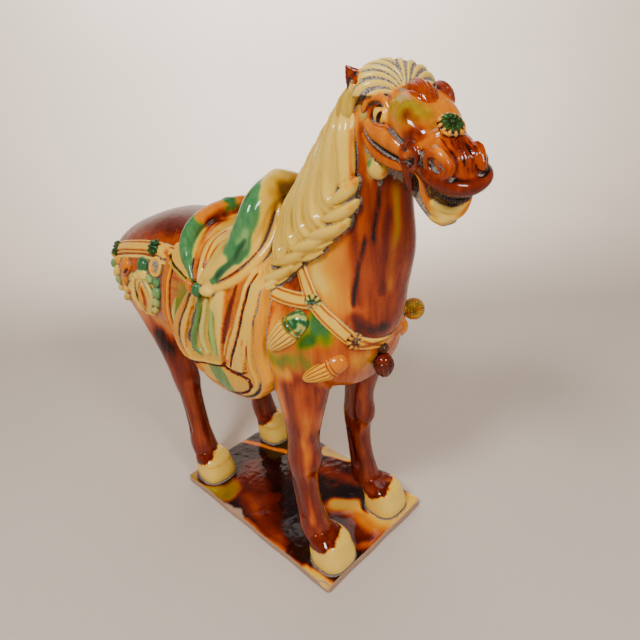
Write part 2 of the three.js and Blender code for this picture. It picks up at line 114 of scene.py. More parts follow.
def rounded(one, other, radius):
    """What lies inside both forms, with the edge between them rounded."""
    a, b = one + radius, other + radius
    return np.minimum(np.maximum(a, b), 0) + np.hypot(np.maximum(a, 0), np.maximum(b, 0)) - radius


class Shape:
    """How far places lie from a form, and the box that holds it."""

    def __init__(self, far, low, high):
        self.far, self.low, self.high = far, np.array(low, float), np.array(high, float)


def limb(axis, rows, power=2.0):
    """A form along an axis: place on it, the two other coordinates, the two half widths."""
    rows = np.array(rows, float)

    def far(*xyz):
        along = xyz[axis]
        one, two = (xyz[i] for i in range(3) if i != axis)
        a, b, half_a, half_b = (c.reshape(along.shape).astype(np.float32)
            for c in through(along.ravel(), rows[:, 0], rows[:, 1:]).T)
        u, v = np.abs(one - a) / half_a, np.abs(two - b) / half_b
        r = np.maximum((u ** power + v ** power) ** (1 / power), 1e-3)
        steep = r ** (1 - power) * np.hypot(u ** (power - 1) / half_a, v ** (power - 1) / half_b)
        side = np.clip((r - 1) / np.maximum(steep, 1e-3), -FAR, FAR)
        end = np.maximum(rows[0, 0] - along, along - rows[-1, 0])
        return np.where((side > 0) & (end > 0), np.hypot(side, end), np.maximum(side, end))

    low, high = np.zeros(3), np.zeros(3)
    low[axis], high[axis] = rows[0, 0], rows[-1, 0]
    for column, i in enumerate(i for i in range(3) if i != axis):
        low[i] = (rows[:, 1 + column] - rows[:, 3 + column]).min()
        high[i] = (rows[:, 1 + column] + rows[:, 3 + column]).max()
    return Shape(far, low, high)


def ball(middle, radii, turn=(0, 0, 0)):
    """A rounded lump with three radii, turned by degrees about x, y and z."""
    spin = np.array(Euler([math.radians(t) for t in turn]).to_matrix().transposed(), np.float32)
    radii = np.array(radii, np.float32)

    def far(x, y, z):
        d = (x - middle[0], y - middle[1], z - middle[2])
        q = [spin[i, 0] * d[0] + spin[i, 1] * d[1] + spin[i, 2] * d[2] for i in range(3)]
        r = np.sqrt(sum((c / radii[i]) ** 2 for i, c in enumerate(q)))
        steep = np.sqrt(sum((c / radii[i] ** 2) ** 2 for i, c in enumerate(q)))
        return np.clip(r * (r - 1) / np.maximum(steep, 1e-4), -FAR, FAR)

    reach = np.full(3, radii.max())
    return Shape(far, np.array(middle) - reach, np.array(middle) + reach)


def band(rows, outward=None, step=2.5, power=2.0, strands=0, depth=0.0):
    """A band swept through rows of x, y, z, half across and half thick. Outward is one direction or
    one for each row. Strands are grooves combed along it."""
    rows = np.array(rows, float)
    if rows.shape[1] == 4:
        rows = np.column_stack([rows, rows[:, 3]])
    out = np.array((0.31, 0.27, 0.91) if outward is None else outward, float)
    if out.ndim == 1:
        out = np.repeat(out[None], len(rows), axis=0)
    line = eased(np.column_stack([rows, out]), step)
    places, across, thick, out = line[:, :3], line[:, 3], line[:, 4], line[:, 5:]
    reach = np.maximum(across, thick).max()

    def far(x, y, z):
        best = np.full(np.broadcast_shapes(x.shape, y.shape, z.shape), FAR, np.float32)
        for i in range(len(places) - 1):
            start, go = places[i], places[i + 1] - places[i]
            long = max(np.linalg.norm(go), 1e-6)
            go = go / long
            side = np.cross(go, out[i])
            side = side / max(np.linalg.norm(side), 1e-6)
            up = np.cross(side, go)
            room = max(across[i], across[i + 1], thick[i]) + 6
            near, cut = [], []
            for axis, line_of in enumerate((x, y, z)):
                flat = line_of.ravel()
                lo, hi = sorted((places[i][axis], places[i + 1][axis]))
                a, b = np.searchsorted(flat, [lo - room, hi + room])
                shape = [1, 1, 1]
                shape[axis] = b - a
                cut.append(slice(a, b))
                near.append((flat[a:b] - start[axis]).reshape(shape).astype(np.float32))
            if min(n.size for n in near) == 0:
                continue
            s = sum(near[k] * np.float32(go[k]) for k in range(3))
            t = np.clip(s / long, 0, 1)
            over = s - t * long
            a = sum(near[k] * np.float32(side[k]) for k in range(3))
            b = sum(near[k] * np.float32(up[k]) for k in range(3))
            half = across[i] + t * (across[i + 1] - across[i])
            high = thick[i] + t * (thick[i + 1] - thick[i])
            u = np.abs(a) / half
            v = np.hypot(b, over) / high
            r = np.maximum((u ** power + v ** power) ** (1 / power), 1e-3)
            steep = r ** (1 - power) * np.hypot(u ** (power - 1) / half, v ** (power - 1) / high)
            d = np.clip((r - 1) / np.maximum(steep, 1e-3), -FAR, FAR)
            if strands:
                d = d + depth * (0.5 - 0.5 * np.cos(np.pi * strands * (a / half)))
            cut = tuple(cut)
            best[cut] = np.minimum(best[cut], d)
        return best

    return Shape(far, places.min(0) - reach, places.max(0) + reach)


class Clay:
    """A block of clay: each cell's distance to the surface and the glaze brushed on it."""

    def __init__(self, name, low, high, cell, place=None):
        self.name, self.low, self.cell = name, np.array(low, float), cell
        self.count = np.ceil((np.array(high, float) - self.low) / cell).astype(int) + 1
        self.gap = np.full(self.count, FAR, np.float32)
        self.coat = np.zeros((3, *self.count), np.float32)
        self.place = np.identity(4) if place is None else np.array(place)
        self.home = np.linalg.inv(self.place)

    def block(self, low, high, margin):
        first = np.floor((np.array(low) - margin - self.low) / self.cell).astype(int)
        last = np.ceil((np.array(high) + margin - self.low) / self.cell).astype(int) + 1
        first, last = np.clip(first, 0, self.count - 1), np.clip(last, 1, self.count)
        x, y, z = ((self.low[i] + self.cell * np.arange(first[i], last[i])).astype(np.float32)
            for i in range(3))
        return (tuple(slice(a, b) for a, b in zip(first, last)), x[:, None, None], y[None, :, None],
            z[None, None, :])

    def tint(self, cut, share, glaze):
        for field, amount in zip(self.coat, (*glaze, 0.0)):
            field[cut] += (amount - field[cut]) * share

    def add(self, shape, blend=0.0, glaze=None):
        """Joins a shape on, with a fillet as wide as the blend."""
        cut, x, y, z = self.block(shape.low, shape.high, blend + 3 * self.cell)
        new, old = shape.far(x, y, z), self.gap[cut]
        if glaze is not None:
            self.tint(cut, np.clip(0.5 + 0.5 * (old - new) / EDGE, 0, 1), glaze)
        if blend > 0:
            share = np.clip(0.5 + 0.5 * (old - new) / blend, 0, 1)
            self.gap[cut] = old + (new - old) * share - blend * share * (1 - share)
        else:
            self.gap[cut] = np.minimum(old, new)

    def cut(self, shape, blend=0.0, glaze=None):
        """Carves a shape out, with its edge rounded by the blend."""
        cut, x, y, z = self.block(shape.low, shape.high, blend + 3 * self.cell)
        new, old = -shape.far(x, y, z), self.gap[cut]
        share = np.clip(0.5 + 0.5 * (new - old) / max(blend, 1e-3), 0, 1)
        if glaze is not None:
            self.tint(cut, np.clip(0.5 + 0.5 * (new - old) / EDGE, 0, 1), glaze)
        self.gap[cut] = old + (new - old) * share + blend * share * (1 - share)

    def value(self, places):
        """The distance at places in the horse's own millimetres, far outside the block."""
        return self.sample(places, self.gap, FAR)

    def sample(self, places, field, outside):
        local = places @ self.home[:3, :3].T + self.home[:3, 3]
        at = (local - self.low) / self.cell
        base = np.floor(at).astype(int)
        inside = ((base >= 0) & (base < self.count - 1)).all(1)
        result = np.full(len(places), outside, np.float32)
        base, t = base[inside], (at - base)[inside].astype(np.float32)
        total = np.zeros(len(base), np.float32)
        for cell, weight in cells_round(base, t):
            total += weight * field[tuple(cell.T)]
        result[inside] = total
        return result

    def over(self, x, y, z):
        """The distances at another grid's cells, for a relief that follows this surface."""
        field = self.gap
        for axis, line in enumerate((x, y, z)):
            at = np.clip((line.ravel() - self.low[axis]) / self.cell, 0, self.count[axis] - 1.001)
            base = np.floor(at).astype(int)
            shape = [1, 1, 1]
            shape[axis] = -1
            t = (at - base).astype(np.float32).reshape(shape)
            field = np.take(field, base, axis) * (1 - t) + np.take(field, base + 1, axis) * t
        return field

    def skin(self, start, towards, reach=140.0):
        """The outermost place on the surface from an inner place in a direction."""
        steps = np.arange(0, reach, 0.5)
        line = np.array(start, float) + steps[:, None] * np.array(towards, float)
        inside = np.nonzero(self.value(line) < 0)[0]
        return line[inside[-1]] if len(inside) else line[0]

    def surface(self):
        """The surface as places in the horse's millimetres and faces."""
        grid = openvdb.FloatGrid(5.0)
        grid.copyFromArray(np.clip(self.gap, -5, 5).astype(np.float32))
        grid.transform = openvdb.createLinearTransform(voxelSize=self.cell)
        places, tris, quads = grid.convertToPolygons(isovalue=0.0, adaptivity=0.0)
        places = np.array(places, float) + self.low
        faces = [quads] + ([tris] if len(tris) else [])
        return places @ self.place[:3, :3].T + self.place[:3, 3], faces

    def coat_at(self, places):
        return np.array([self.sample(places, field, 0.0) for field in self.coat])


WORK = {"clays": {}, "pieces": {}}


def to_frame(places):
    """The horse's millimetres brought to the frame's metres."""
    share = (HORSE_HIGH.z - HORSE_LOW.z) / MODELLED_TALL
    return places * share + np.array([0, 0, HORSE_LOW.z])


def linked(name, data):
    """A new object in the scene."""
    made = bpy.data.objects.new(name, data)
    bpy.context.scene.collection.objects.link(made)
    return made


def read(items, field, width, kind=np.float32):
    """A field of a mesh's vertices, faces or triangles, a row for each."""
    values = np.zeros(len(items) * width, kind)
    items.foreach_get(field, values)
    return values.reshape(-1, width)


def evaluated(holder):
    graph = bpy.context.evaluated_depsgraph_get()
    return bpy.data.meshes.new_from_object(holder.evaluated_get(graph))


def mesh_of(name, places, faces):
    mesh = bpy.data.meshes.new(name)
    loops = np.concatenate([f.reshape(-1) for f in faces]).astype(np.int32)
    sizes = np.concatenate([np.full(len(f), f.shape[1]) for f in faces]).astype(np.int32)
    mesh.vertices.add(len(places))
    mesh.vertices.foreach_set("co", places.astype(np.float32).ravel())
    mesh.loops.add(len(loops))
    mesh.loops.foreach_set("vertex_index", loops)
    mesh.polygons.add(len(sizes))
    mesh.polygons.foreach_set("loop_start", np.concatenate([[0], np.cumsum(sizes)[:-1]]).astype(np.int32))
    mesh.update(calc_edges=True)
    mesh.validate()
    return mesh


def thinned(places, faces, plain, plain_share):
    """The surface with fewer faces: first in the plain places, then all over if there are too many."""
    total = sum(len(f) * (f.shape[1] - 2) for f in faces)
    first = 1 - (1 - plain_share) * plain.mean()
    for share, chosen in ((first, True), (min(1.0, MOST_FACES / (total * first)), False)):
        if share > 0.99:
            continue
        rough = linked("rough", mesh_of("rough", places, faces))
        modifier = rough.modifiers.new("thin", "DECIMATE")
        modifier.ratio = share
        if chosen:
            group = rough.vertex_groups.new(name="plain")
            group.add(np.nonzero(plain)[0].tolist(), 1.0, "REPLACE")
            modifier.vertex_group, modifier.vertex_group_factor = group.name, 100.0
        made = evaluated(rough)
        made.calc_loop_triangles()
        places = read(made.vertices, "co", 3, float)
        faces = [read(made.loop_triangles, "vertices", 3, np.int32)]
        bpy.data.objects.remove(rough)
    return places, faces


def mesh_piece(name, places, faces, coat):
    """A closed mesh piece with its glaze amounts kept for the last coat."""
    mesh = mesh_of(name, to_frame(places), faces)
    normal, middle = read(mesh.polygons, "normal", 3), read(mesh.polygons, "center", 3)
    if ((normal * middle).sum(1) * read(mesh.polygons, "area", 1)[:, 0]).sum() < 0:
        mesh.flip_normals()
    mesh.polygons.foreach_set("use_smooth", np.ones(len(mesh.polygons), bool))
    piece = linked(name, mesh)
    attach(piece, "root")
    WORK["pieces"][name] = {"object": piece, "places": places, "coat": coat}
    return piece


def out_of_sight(places):
    """Marks the places on the left side, inside the body and under the blankets."""
    body = WORK["clays"].get("horse_body")
    if body is None:
        buried = (np.abs(places[:, 0] - COVERED[0]) < COVERED[1]) & (places[:, 2] > COVERED[2])
    else:
        buried = body.value(places) < -1.5
    return (places[:, 1] > 14) | buried


def keep(clay, plain_share=0.4):
    places, faces = clay.surface()
    if plain_share < 1:
        places, faces = thinned(places, faces, out_of_sight(places), plain_share)
    WORK["clays"][clay.name] = clay
    return mesh_piece(clay.name, places, faces, clay.coat_at(places))


def mirrored(rows, side):
    return [[r[0], r[1] * side, *r[2:]] for r in rows]


def cloudy(places, scale, seed):
    """Smooth random values from 0 to 1 that change over a scale in mm."""
    noise = np.random.default_rng(seed).random((16, 16, 16)).astype(np.float32)
    at = places / np.array(scale, float)
    base = np.floor(at).astype(int)
    t = (at - base).astype(np.float32)
    t = t * t * (3 - 2 * t)
    total = np.zeros(len(places), np.float32)
    for cell, weight in cells_round(base, t):
        total += weight * noise[tuple((cell & 15).T)]
    return total


# Body, neck, legs, hooves and tail

TRUNK = table("-242 0 254 10 6, -234 0 253 36 25, -214 0 250 56 41, -180 0 247 65 57, -140 0 243 68 70,"
    "-80 0 238 67 70, -20 0 231 66 67, 30 0 232 65 68, 75 0 236 61 60, 105 0 236 52 46, 124 0 232 38 30,"
    "133 0 230 14 8")
NECK = table("215 58 0 62 50, 250 75 0 70 46, 285 88 0 66 41, 318 101 -1 61 37, 350 111 -3 51 32,"
    "380 124 -4 37 27, 405 134 -4 27 24, 424 139 -4 18 18")
FORELEG = table("14 90 45 16 15, 29 79 46 16.5 15, 45 75 46 14 13, 66 72 46 13 12, 90 71 46 13.5 13,"
    "112 73 46 16.5 15.5, 135 75 46 15.5 14.5, 162 78 46 19.5 16.5, 190 77 44 28 20, 218 70 40 38 24,"
    "248 58 36 44 24")
HINDLEG = table("14 -104 48 16 14.5, 38 -114 48 16.5 14.5, 55 -115.5 48 14 12.5, 75 -117 48 13.5 12,"
    "105 -120 48 14.5 12.5, 125 -122 48 17.5 14.5, 145 -125 48 18.5 16, 165 -134 46 25 18.5,"
    "192 -152 42 38 23, 222 -166 38 50 27, 252 -172 34 52 28")
HOOF = table("0 9.5 19.5 20, 4 9.5 20 20.5, 18 7 19 19, 27 4.5 17 17, 31 2 13 13")
ANKLE, KNEE = 1, 5
LEFT_FORELEG_BACK = 9
LEFT_FORELEG_INWARD = 4
TAIL = table("-226 0 274 10, -243 0 268 9.5, -251 0 248 8.5, -249 0 226 6.5, -245 0 208 2.5")


def leg_rows(rows, side, back=0, inward=0):
    placed = []
    for z, x, y, long, wide in rows:
        share = min(z / 29, (248 - z) / 98, 1)
        placed.append([z, x - back * share, side * (y - inward * share), long, wide])
    return placed


def hindleg_rows(side):
    return [[z, x, side * y, long, wide] for z, x, y, long, wide in HINDLEG]


def build_body(cell):
    clay = Clay("horse_body", (-264, -76, -2), (176, 76, 446), cell)
    clay.add(limb(0, TRUNK, 2.25), glaze=ORANGE)
    for side in (RIGHT, LEFT):
        clay.add(ball((-166, side * 40, 236), (46, 26, 46)), 16)
        clay.add(ball((80, side * 38, 226), (34, 22, 36)), 12)
        clay.add(ball((112, side * 19, 228), (20, 18, 20)), 8)
    clay.add(limb(2, NECK), 14, glaze=RED)
    legs = [(leg_rows(FORELEG, RIGHT), RIGHT, 3.5), (hindleg_rows(RIGHT), RIGHT, 9), (leg_rows(FORELEG,
        LEFT, LEFT_FORELEG_BACK, LEFT_FORELEG_INWARD), LEFT, 3.5), (hindleg_rows(LEFT), LEFT, 9)]
    for rows, side, blend in legs:
        clay.add(limb(2, rows), blend, glaze=LEG_RED)
        knee_z, knee_x, knee_y = rows[KNEE][:3]
        clay.add(ball((knee_x + 7, knee_y, knee_z + 2), (11, 10, 14)), 5)
        ankle_z, ankle_x, ankle_y = rows[ANKLE][:3]
        clay.add(ball((ankle_x - 10, ankle_y, ankle_z + 4), (7, 8, 8)), 5)
        for way in (-1, 1):
            tendon = [[ankle_x - 4, ankle_y + way * 12.5, ankle_z + 22, 2.4], [rows[4][1] - 4, rows[4][2]
                + way * 12, rows[4][0], 2.2]]
            clay.cut(band(tendon), 5)
        foot = [[z, rows[0][1] + ahead, rows[0][2], long, wide] for z, ahead, long, wide in HOOF]
        clay.add(limb(2, foot, 2.8), 1.2, glaze=LEG_RED)
        clay.cut(band([[foot[0][1] - 22, rows[0][2], 1, 5], [foot[0][1] - 15, rows[0][2], 16, 3]]), 4)
    tail = [[*r[:3], r[3], r[3] * 0.9] for r in TAIL]
    clay.add(band(tail, (-1, 0, 0.2), strands=5, depth=1.2), 4, glaze=(0.12, 0.1))
    for z, x in ((268, -244), (240, -250)):
        clay.add(band([[x + 8, -9, z, 2.4], [x - 9, -4, z - 1, 2.4], [x - 9, 4, z - 1, 2.4],
            [x + 8, 9, z, 2.4]]), 1.5, glaze=(0.5, 0.0))
    return keep(clay)


# Head, in its own frame: x along the face from the poll, y to its left, z out of the face

POLL = (149, 0, 434)
HEAD_TURN = -22
HEAD_TIP = 26
SKULL = table("-14 0 -26 16 14, -4 0 -26 22 24, 12 0 -26 24 26, 30 0 -25 22 25.5, 45 0 -21 18 20.5,"
    "58 0 -17 15.5 16, 70 0 -14.5 15 14.5, 82 0 -15 17 12, 91 0 -17 16.5 8.5, 97 0 -18.5 11 4.5")
LOWER_JAW = table("22 0 -42 18 10, 45 0 -41 13.5 9, 62 0 -42 12 7, 76 0 -45 12 5, 86 0 -47.5 10 4,"
    "93 0 -49 6 2.6")
FORELOCK_STRANDS = 27
NOSTRIL_INSET = 7.5


def strand(x, y):
    """How near a place on the crown lies to a groove between two combed strands, 1 in the groove."""
    turn = np.arctan2(y + 3, x - 28)
    count = (turn + 0.008 * np.hypot(x - 28, y + 3) * np.sign(y + 3)) * FORELOCK_STRANDS / np.pi * 0.5
    return np.abs(count - np.floor(count) - 0.5) * 2


def forelock():
    """The combed dome of hair on the crown: strands that run back from a parting over the brow."""
    dome = ball((6, -1, -9.6), (20.4, 28.6, 15.6), (0, 12, 0))

    def far(x, y, z):
        across = np.clip((0.62 - strand(x, y)) / 0.45, 0, 1)
        round_strand = np.sqrt(1 - (1 - across) ** 2)
        hair = dome.far(x, y, z) - 1.6 * round_strand * np.clip(np.hypot(x - 28, y + 3) / 12, 0.3, 1)
        return np.maximum(hair, 0.5 * x - 14 - z)

    return Shape(far, dome.low - 2, dome.high + 2)


def palmette():
    """A proud almond leaf in the middle of the brow, cut with rays."""
    leaf = ball((35, 0.5, 1.2), (13.5, 8.5, 5.5), (0, 8, -10))

    def far(x, y, z):
        ray = np.abs(np.sin(np.arctan2(y + 1.5, 56 - x) * 14))
        return leaf.far(x, y, z) - 1.1 * np.sqrt(ray)

    return Shape(far, leaf.low - 1, leaf.high + 1)


def ring_rows(middle, along, high, half, tilt=0.0, count=10):
    """Rows of a closed ring in the plane of x and z, its far end drawn inward by the tilt."""
    rows = []
    for step in range(count + 1):
        turn = 2 * math.pi * step / count
        rows.append([middle[0] + along * math.cos(turn), middle[1] - tilt * math.cos(turn), middle[2]
            + high * math.sin(turn), half])
    return rows


def build_head(cell):
    place = (Matrix.Translation(POLL) @ Matrix.Rotation(math.radians(HEAD_TURN), 4, "Z")
        @ Matrix.Rotation(math.radians(HEAD_TIP), 4, "Y"))
    clay = Clay("horse_head", (-40, -36, -64), (106, 36, 18), cell, place)
    clay.add(limb(0, SKULL, 2.2), glaze=(0.5, 0.0))
    clay.add(limb(0, LOWER_JAW, 2.2), 5, glaze=(0.3, 0.0, 0.7))
    for side in (RIGHT, LEFT):
        def lay(rows, blend, glaze, out=None):
            clay.add(band(mirrored(table(rows), side), out), blend, glaze)

        def score(rows, blend, glaze):
            clay.cut(band(mirrored(table(rows), side)), blend, glaze)

        inset = NOSTRIL_INSET if side == LEFT else 0
        # swelling of the face before the eye, the eye's socket with painted shade, the ball and its lids
        # with lines of painted shade above and below
        clay.add(ball((44, side * 9, -7), (18, 12, 9.6), (0, 12, side * 12)), 9, (0.44, 0.0))
        clay.cut(ball((27, side * 25, -13), (10, 6, 8)), 3, NEAR_BLACK_AND_SHADE)
        clay.add(ball((28, side * 18.4, -12.6), (8.6, 6.4, 6.8)), 0.8, (0.06, 0.0))
        lay("12 23.5 -21 1.8, 13 24 -16 2.1, 13.6 23 -10.5 2.3, 20.3 19.8 -5.4 2.5, 28.5 18 -5.6 2.4,"
            "33 18.4 -9 2.1, 34.6 19.4 -14 1.8, 38 19.6 -17 1.4", 0.7, AMBER)
        score("17 25 -16 0.9, 18.5 24 -11.5 1.2, 23 22 -8.4 1.2, 28.5 20.8 -8 1.2, 32 21 -10.5 1,"
            "34 21.4 -14 0.8", 0.4, NEAR_BLACK_AND_SHADE)
        lay("20 24 -20 1.2, 23 24.2 -20.4 1.6, 30 23 -18.6 1.7, 37 20.8 -16 1.2", 0.5, GOLD)
        score("19 25.5 -22.6 1, 27 25.5 -21.6 1.5, 33 24 -19.6 1", 0.5, NEAR_BLACK_AND_SHADE)
        # cheek: two long ridges with a groove between them painted dark as shade, the ball of the jaw
        lay("18 23.5 -23 3, 29 23.6 -22 4.8, 40.5 21 -20.6 5.8, 51 17.8 -20.8 5.2, 59 16 -21 3.6", 1,
            (0.45, 0.0))
        lay("16 24 -28 2.5, 28 23.6 -31.8 3.7, 39.4 22.3 -32.6 4, 48.4 20 -31.8 3.9, 57.4 17 -30 3.3,"
            "63 16 -28 2.6", 1, (0.5, 0.0))
        score("22 26.5 -25.5 1, 30 27 -27.2 1.5, 38 25.5 -27.4 1.6, 46 23 -27.4 1.5, 56 19 -26 1", 0.6, NEAR_BLACK_AND_SHADE)
        clay.add(ball((33.5, side * 18.5, -46), (8.4, 7, 7.6)), 1, CREAM)
        score("42 20.8 -14.6 1.4, 51 18.6 -14.6 1.8, 60 16.5 -14.8 1.6", 0.6, GREY)
        # bit ring, cheek strap and its disc, noseband
        clay.add(band(mirrored(ring_rows((63.4, 18, -20), 7.6, 7.2, 2.2, 0.8), side)), 0.6, BRIDLE_RED)
        clay.add(ball((64, side * 17.4, -17.5), (2.6, 2.4, 2.8)), 0.4, (0.62, 0.0))
        lay("63 18 -26 3 2.4, 65.5 17.4 -31 3.8 2.6, 67 16.5 -38 5 2.6", 0.6, BRIDLE_RED, (0, side, 0))
        # a hole in the disc, painted near black as shade
        clay.cut(ball((67.2, side * 19.4, -39), (2.2, 1.8, 2.6)), 0.4, NEAR_BLACK_AND_SHADE)
        lay("62 18 -17 2.8 1.7, 65 16.8 -13.4 3.2 2, 67 12.6 -8 3.4 2.1, 69 7.4 -2.4 3.4 2.1,"
            "70 0 1 3.4 2.1", 0.5, (0.47, 0.0), [(0, side, 0), (0, side, 0.3), (0, side, 0.8),
            (0, side * 0.5, 1), (0, 0, 1)])
        # nostril: a thick rolled ring round a pitted hollow, with a curl inside
        clay.add(ball((86.5, side * (13 - inset * 0.6), -10.5), (9.5, 6.6, 6.8)), 2.5, (0.74, 0.0))
        clay.cut(ball((87.5, side * (19.5 - inset), -10.5), (6.6, 6, 3.8)), 1.2, GREY)
        clay.add(band(mirrored(ring_rows((87, 16.6 - inset, -10), 8.4, 4.9, 2.2, 2.2), side)), 0.8,
            (0.62, 0.0))
        lay(f"79 {15.4 - inset} -6 1.8, 84.5 {16.6 - inset} -3.8 2.8, 90 {15.6 - inset} -5 2.6,"
            f"94 {13 - inset} -9 2", 1, AMBER)
        lay(f"84 {17 - inset} -7 1.3, 88 {17.4 - inset} -9 1.6, 92 {15.6 - inset} -11.5 1.3", 0.4,
            (0.6, 0.0))
        # teeth under the upper lip, painted near black as its shade
        for tooth in range(5):
            share = tooth / 4
            clay.add(ball((80 + 12 * share ** 0.7, side * (14 - 11 * share ** 1.6), -26 - share),
                (2.4, 2.2, 3)), 0.3, SHADED_TOOTH)
        # hair combed down behind the eye
        for back, low in ((0, 0), (-7, -5)):
            clay.add(band([[3 + back, side * 25, -8 + low, 4.8], [2.5 + back, side * 29, -15 + low, 5.2],
                [4 + back, side * 30, -23 + low, 4.8], [7 + back, side * 28, -31 + low, 2.6]],
                (0, side, 0), strands=2, depth=1.3), 0.6, (0.13, 0.1, 0.2))
    # the brow's bump beyond the leaf, the hollow mouth, the spoon of the lower lip and its teeth
    clay.add(ball((32, 18, -2.4), (11, 6.2, 7.6), (0, 10, 0)), 1.5, (0.74, 0.0, 0.3))
    clay.cut(ball((84, 1, -34), (16, 13, 7), (0, 14, 0)), 1.5, (0.16, 0.04, 0.36))
    clay.add(ball((80, 2, -38.5), (13, 9.5, 5), (0, 14, 0)), 2, (0.04, 0.0, 0.2))
    clay.add(band(table("70 -16 -25 2, 76.3 -15.4 -26 2.5, 79.5 -13.6 -34 2.7, 85.3 -10.5 -40.5 2.8,"
        "90 -4.5 -44.6 3, 92.6 1.8 -44.4 3, 92 7.4 -42.4 2.8, 89 12 -38 2.6, 84 14.6 -31 2.4,"
        "78 15.6 -25.5 2.2")), 1, AMBER)
    clay.add(band(table("86 -10 -37.5 2.4, 90.5 -3.8 -39.6 2.8, 92 3 -39.4 2.8, 90 8.6 -36.4 2.4")), 1.2,
        CREAM)
    clay.add(ball((87, -1, -47.6), (7, 9, 3.8), (0, -8, 12)), 1.5, (0.12, 0.03))
    # the lower teeth, painted near black as shade under the upper lip
    for tooth in table("84.5 -12 -28, 87 -10 -29.4, 89.4 -7.6 -30.6, 90.8 -4.6 -31.8, 91.4 -1.4 -32.8,"
            "92 1.8 -33.4, 92 5 -33.6, 91.4 8.4 -33.4, 90 11.4 -32.6, 87.6 13.8 -31.2"):
        clay.add(ball(tooth, (2, 1.8, 2.6)), 0.3, SHADED_TOOTH)
    # the upper lip in one roll from side to side, with creases along it painted dark as shade
    lip = table("73 -17 -22 2.6, 81.6 -17.4 -19 4.4, 89 -15.6 -18.6 4.9, 96 -10 -19 5.1, 99 -2.8 -19 5,"
        "98 6 -18.4 4.9, 94 13.4 -17.4 4.6, 86 17.4 -18 4, 76 17.5 -21 2.6")
    clay.add(band(lip), 1.2, BRIDLE_RED)
    clay.cut(band([[x + 3.2, y * 1.06, z + 0.6, 0.7] for x, y, z, _ in lip[1:-1]]), 0.5, DARK)
    clay.cut(band([[x + 0.6, y * 1.04, z + 5.8, 0.9] for x, y, z, _ in lip[1:-1]]), 0.5, NEAR_BLACK_AND_SHADE)
    clay.add(forelock(), 0.6, CREAM)
    clay.add(palmette(), 0.6, (0.66, 0.0))
    # ears: the right one stands up beside the hair, the left one lies back
    clay.add(band([[0, -17, -14, 7, 4], [-3, -22, -8, 7.6, 3.4], [-5, -26.5, -2.5, 4.8, 2.6],
        [-6.5, -30, 1.6, 1.2, 1.2]], (0.77, -0.5, 0.4)), 1, (0.74, 0.0))
    clay.cut(band([[3.6, -23.6, -6.4, 3], [0.6, -27.2, -2.6, 3], [-2.6, -30.5, 1, 1.2]]), 0.8, AMBER)
    clay.add(band([[0, 18, -12, 7, 4.5], [-7, 22, -10, 6, 3.6], [-13, 24, -8, 3.6, 2.4],
        [-17, 25, -7, 1.2, 1.2]], (0.5, 0.8, 0.3)), 1.5, (0.72, 0.0))
    clay.cut(band([[-2, 23, -8, 2.4], [-8, 26, -7, 2.6], [-13, 27, -6, 1.5]]), 0.8, ORANGE)
    # the block of combed hair down the nose
    cut, x, y, z = clay.block((74, -14, -10), (94, 12, 3), 0)
    mask = (np.clip((x - 75) / 2, 0, 1) * np.clip((93 - x) / 4, 0, 1)
        * np.clip((9 - np.abs(y + 1)) / 2, 0, 1))
    comb = 0.5 + 0.5 * np.cos(2 * np.pi * (y + 0.8 * np.sin(x / 3)) / 2.2)
    clay.gap[cut] += mask * (0.5 * comb - 1.1)
    return keep(clay)


# Mane: each lock falls from the crest and curls forward to its tip. x and z on the right side of
# the neck, half width

LOCKS = [[[134, 412, 7], [131, 398, 9], [132, 385, 9], [133, 375, 8], [134, 366, 5]], [[127, 410, 7],
    [122, 390, 9], [118, 370, 10], [120, 357, 10], [131, 353, 8.5], [141, 357, 4.5]], [[118, 402, 7],
    [111, 380, 9], [105, 358, 10], [107, 344, 10], [120, 338, 8.5], [135, 344, 4.5]], [[107, 392, 7],
    [98, 370, 9], [91, 347, 10], [93, 334, 10], [107, 328, 8.5], [123, 332, 4.5]], [[95, 381, 7],
    [85, 358, 9], [76, 336, 10], [78, 322, 10], [94, 317, 8.5], [114, 323, 4.5]], [[82, 368, 7],
    [70, 346, 9], [57, 320, 10], [58, 306, 10], [73, 302, 8.5], [92, 310, 4.5]], [[69, 352, 7],
    [56, 332, 9], [43, 309, 10], [43, 295, 9.5], [56, 288, 8], [74, 295, 4.5]], [[57, 336, 7],
    [44, 318, 9], [35, 300, 9.5], [37, 287, 8.5], [49, 280, 7], [63, 283, 4]], [[46, 320, 7],
    [35, 304, 8], [29, 288, 8], [34, 276, 6], [44, 272, 3]]]
LOCK_THICK = 6.0
# where each curl starts and ends: x and z, x and z
CURLS = table("40 275 64 287, 45 285 82 302, 50 297 99 318, 78 316 117 330, 100 329 134 342,"
    "116 343 141 356, 124 355 141 370")


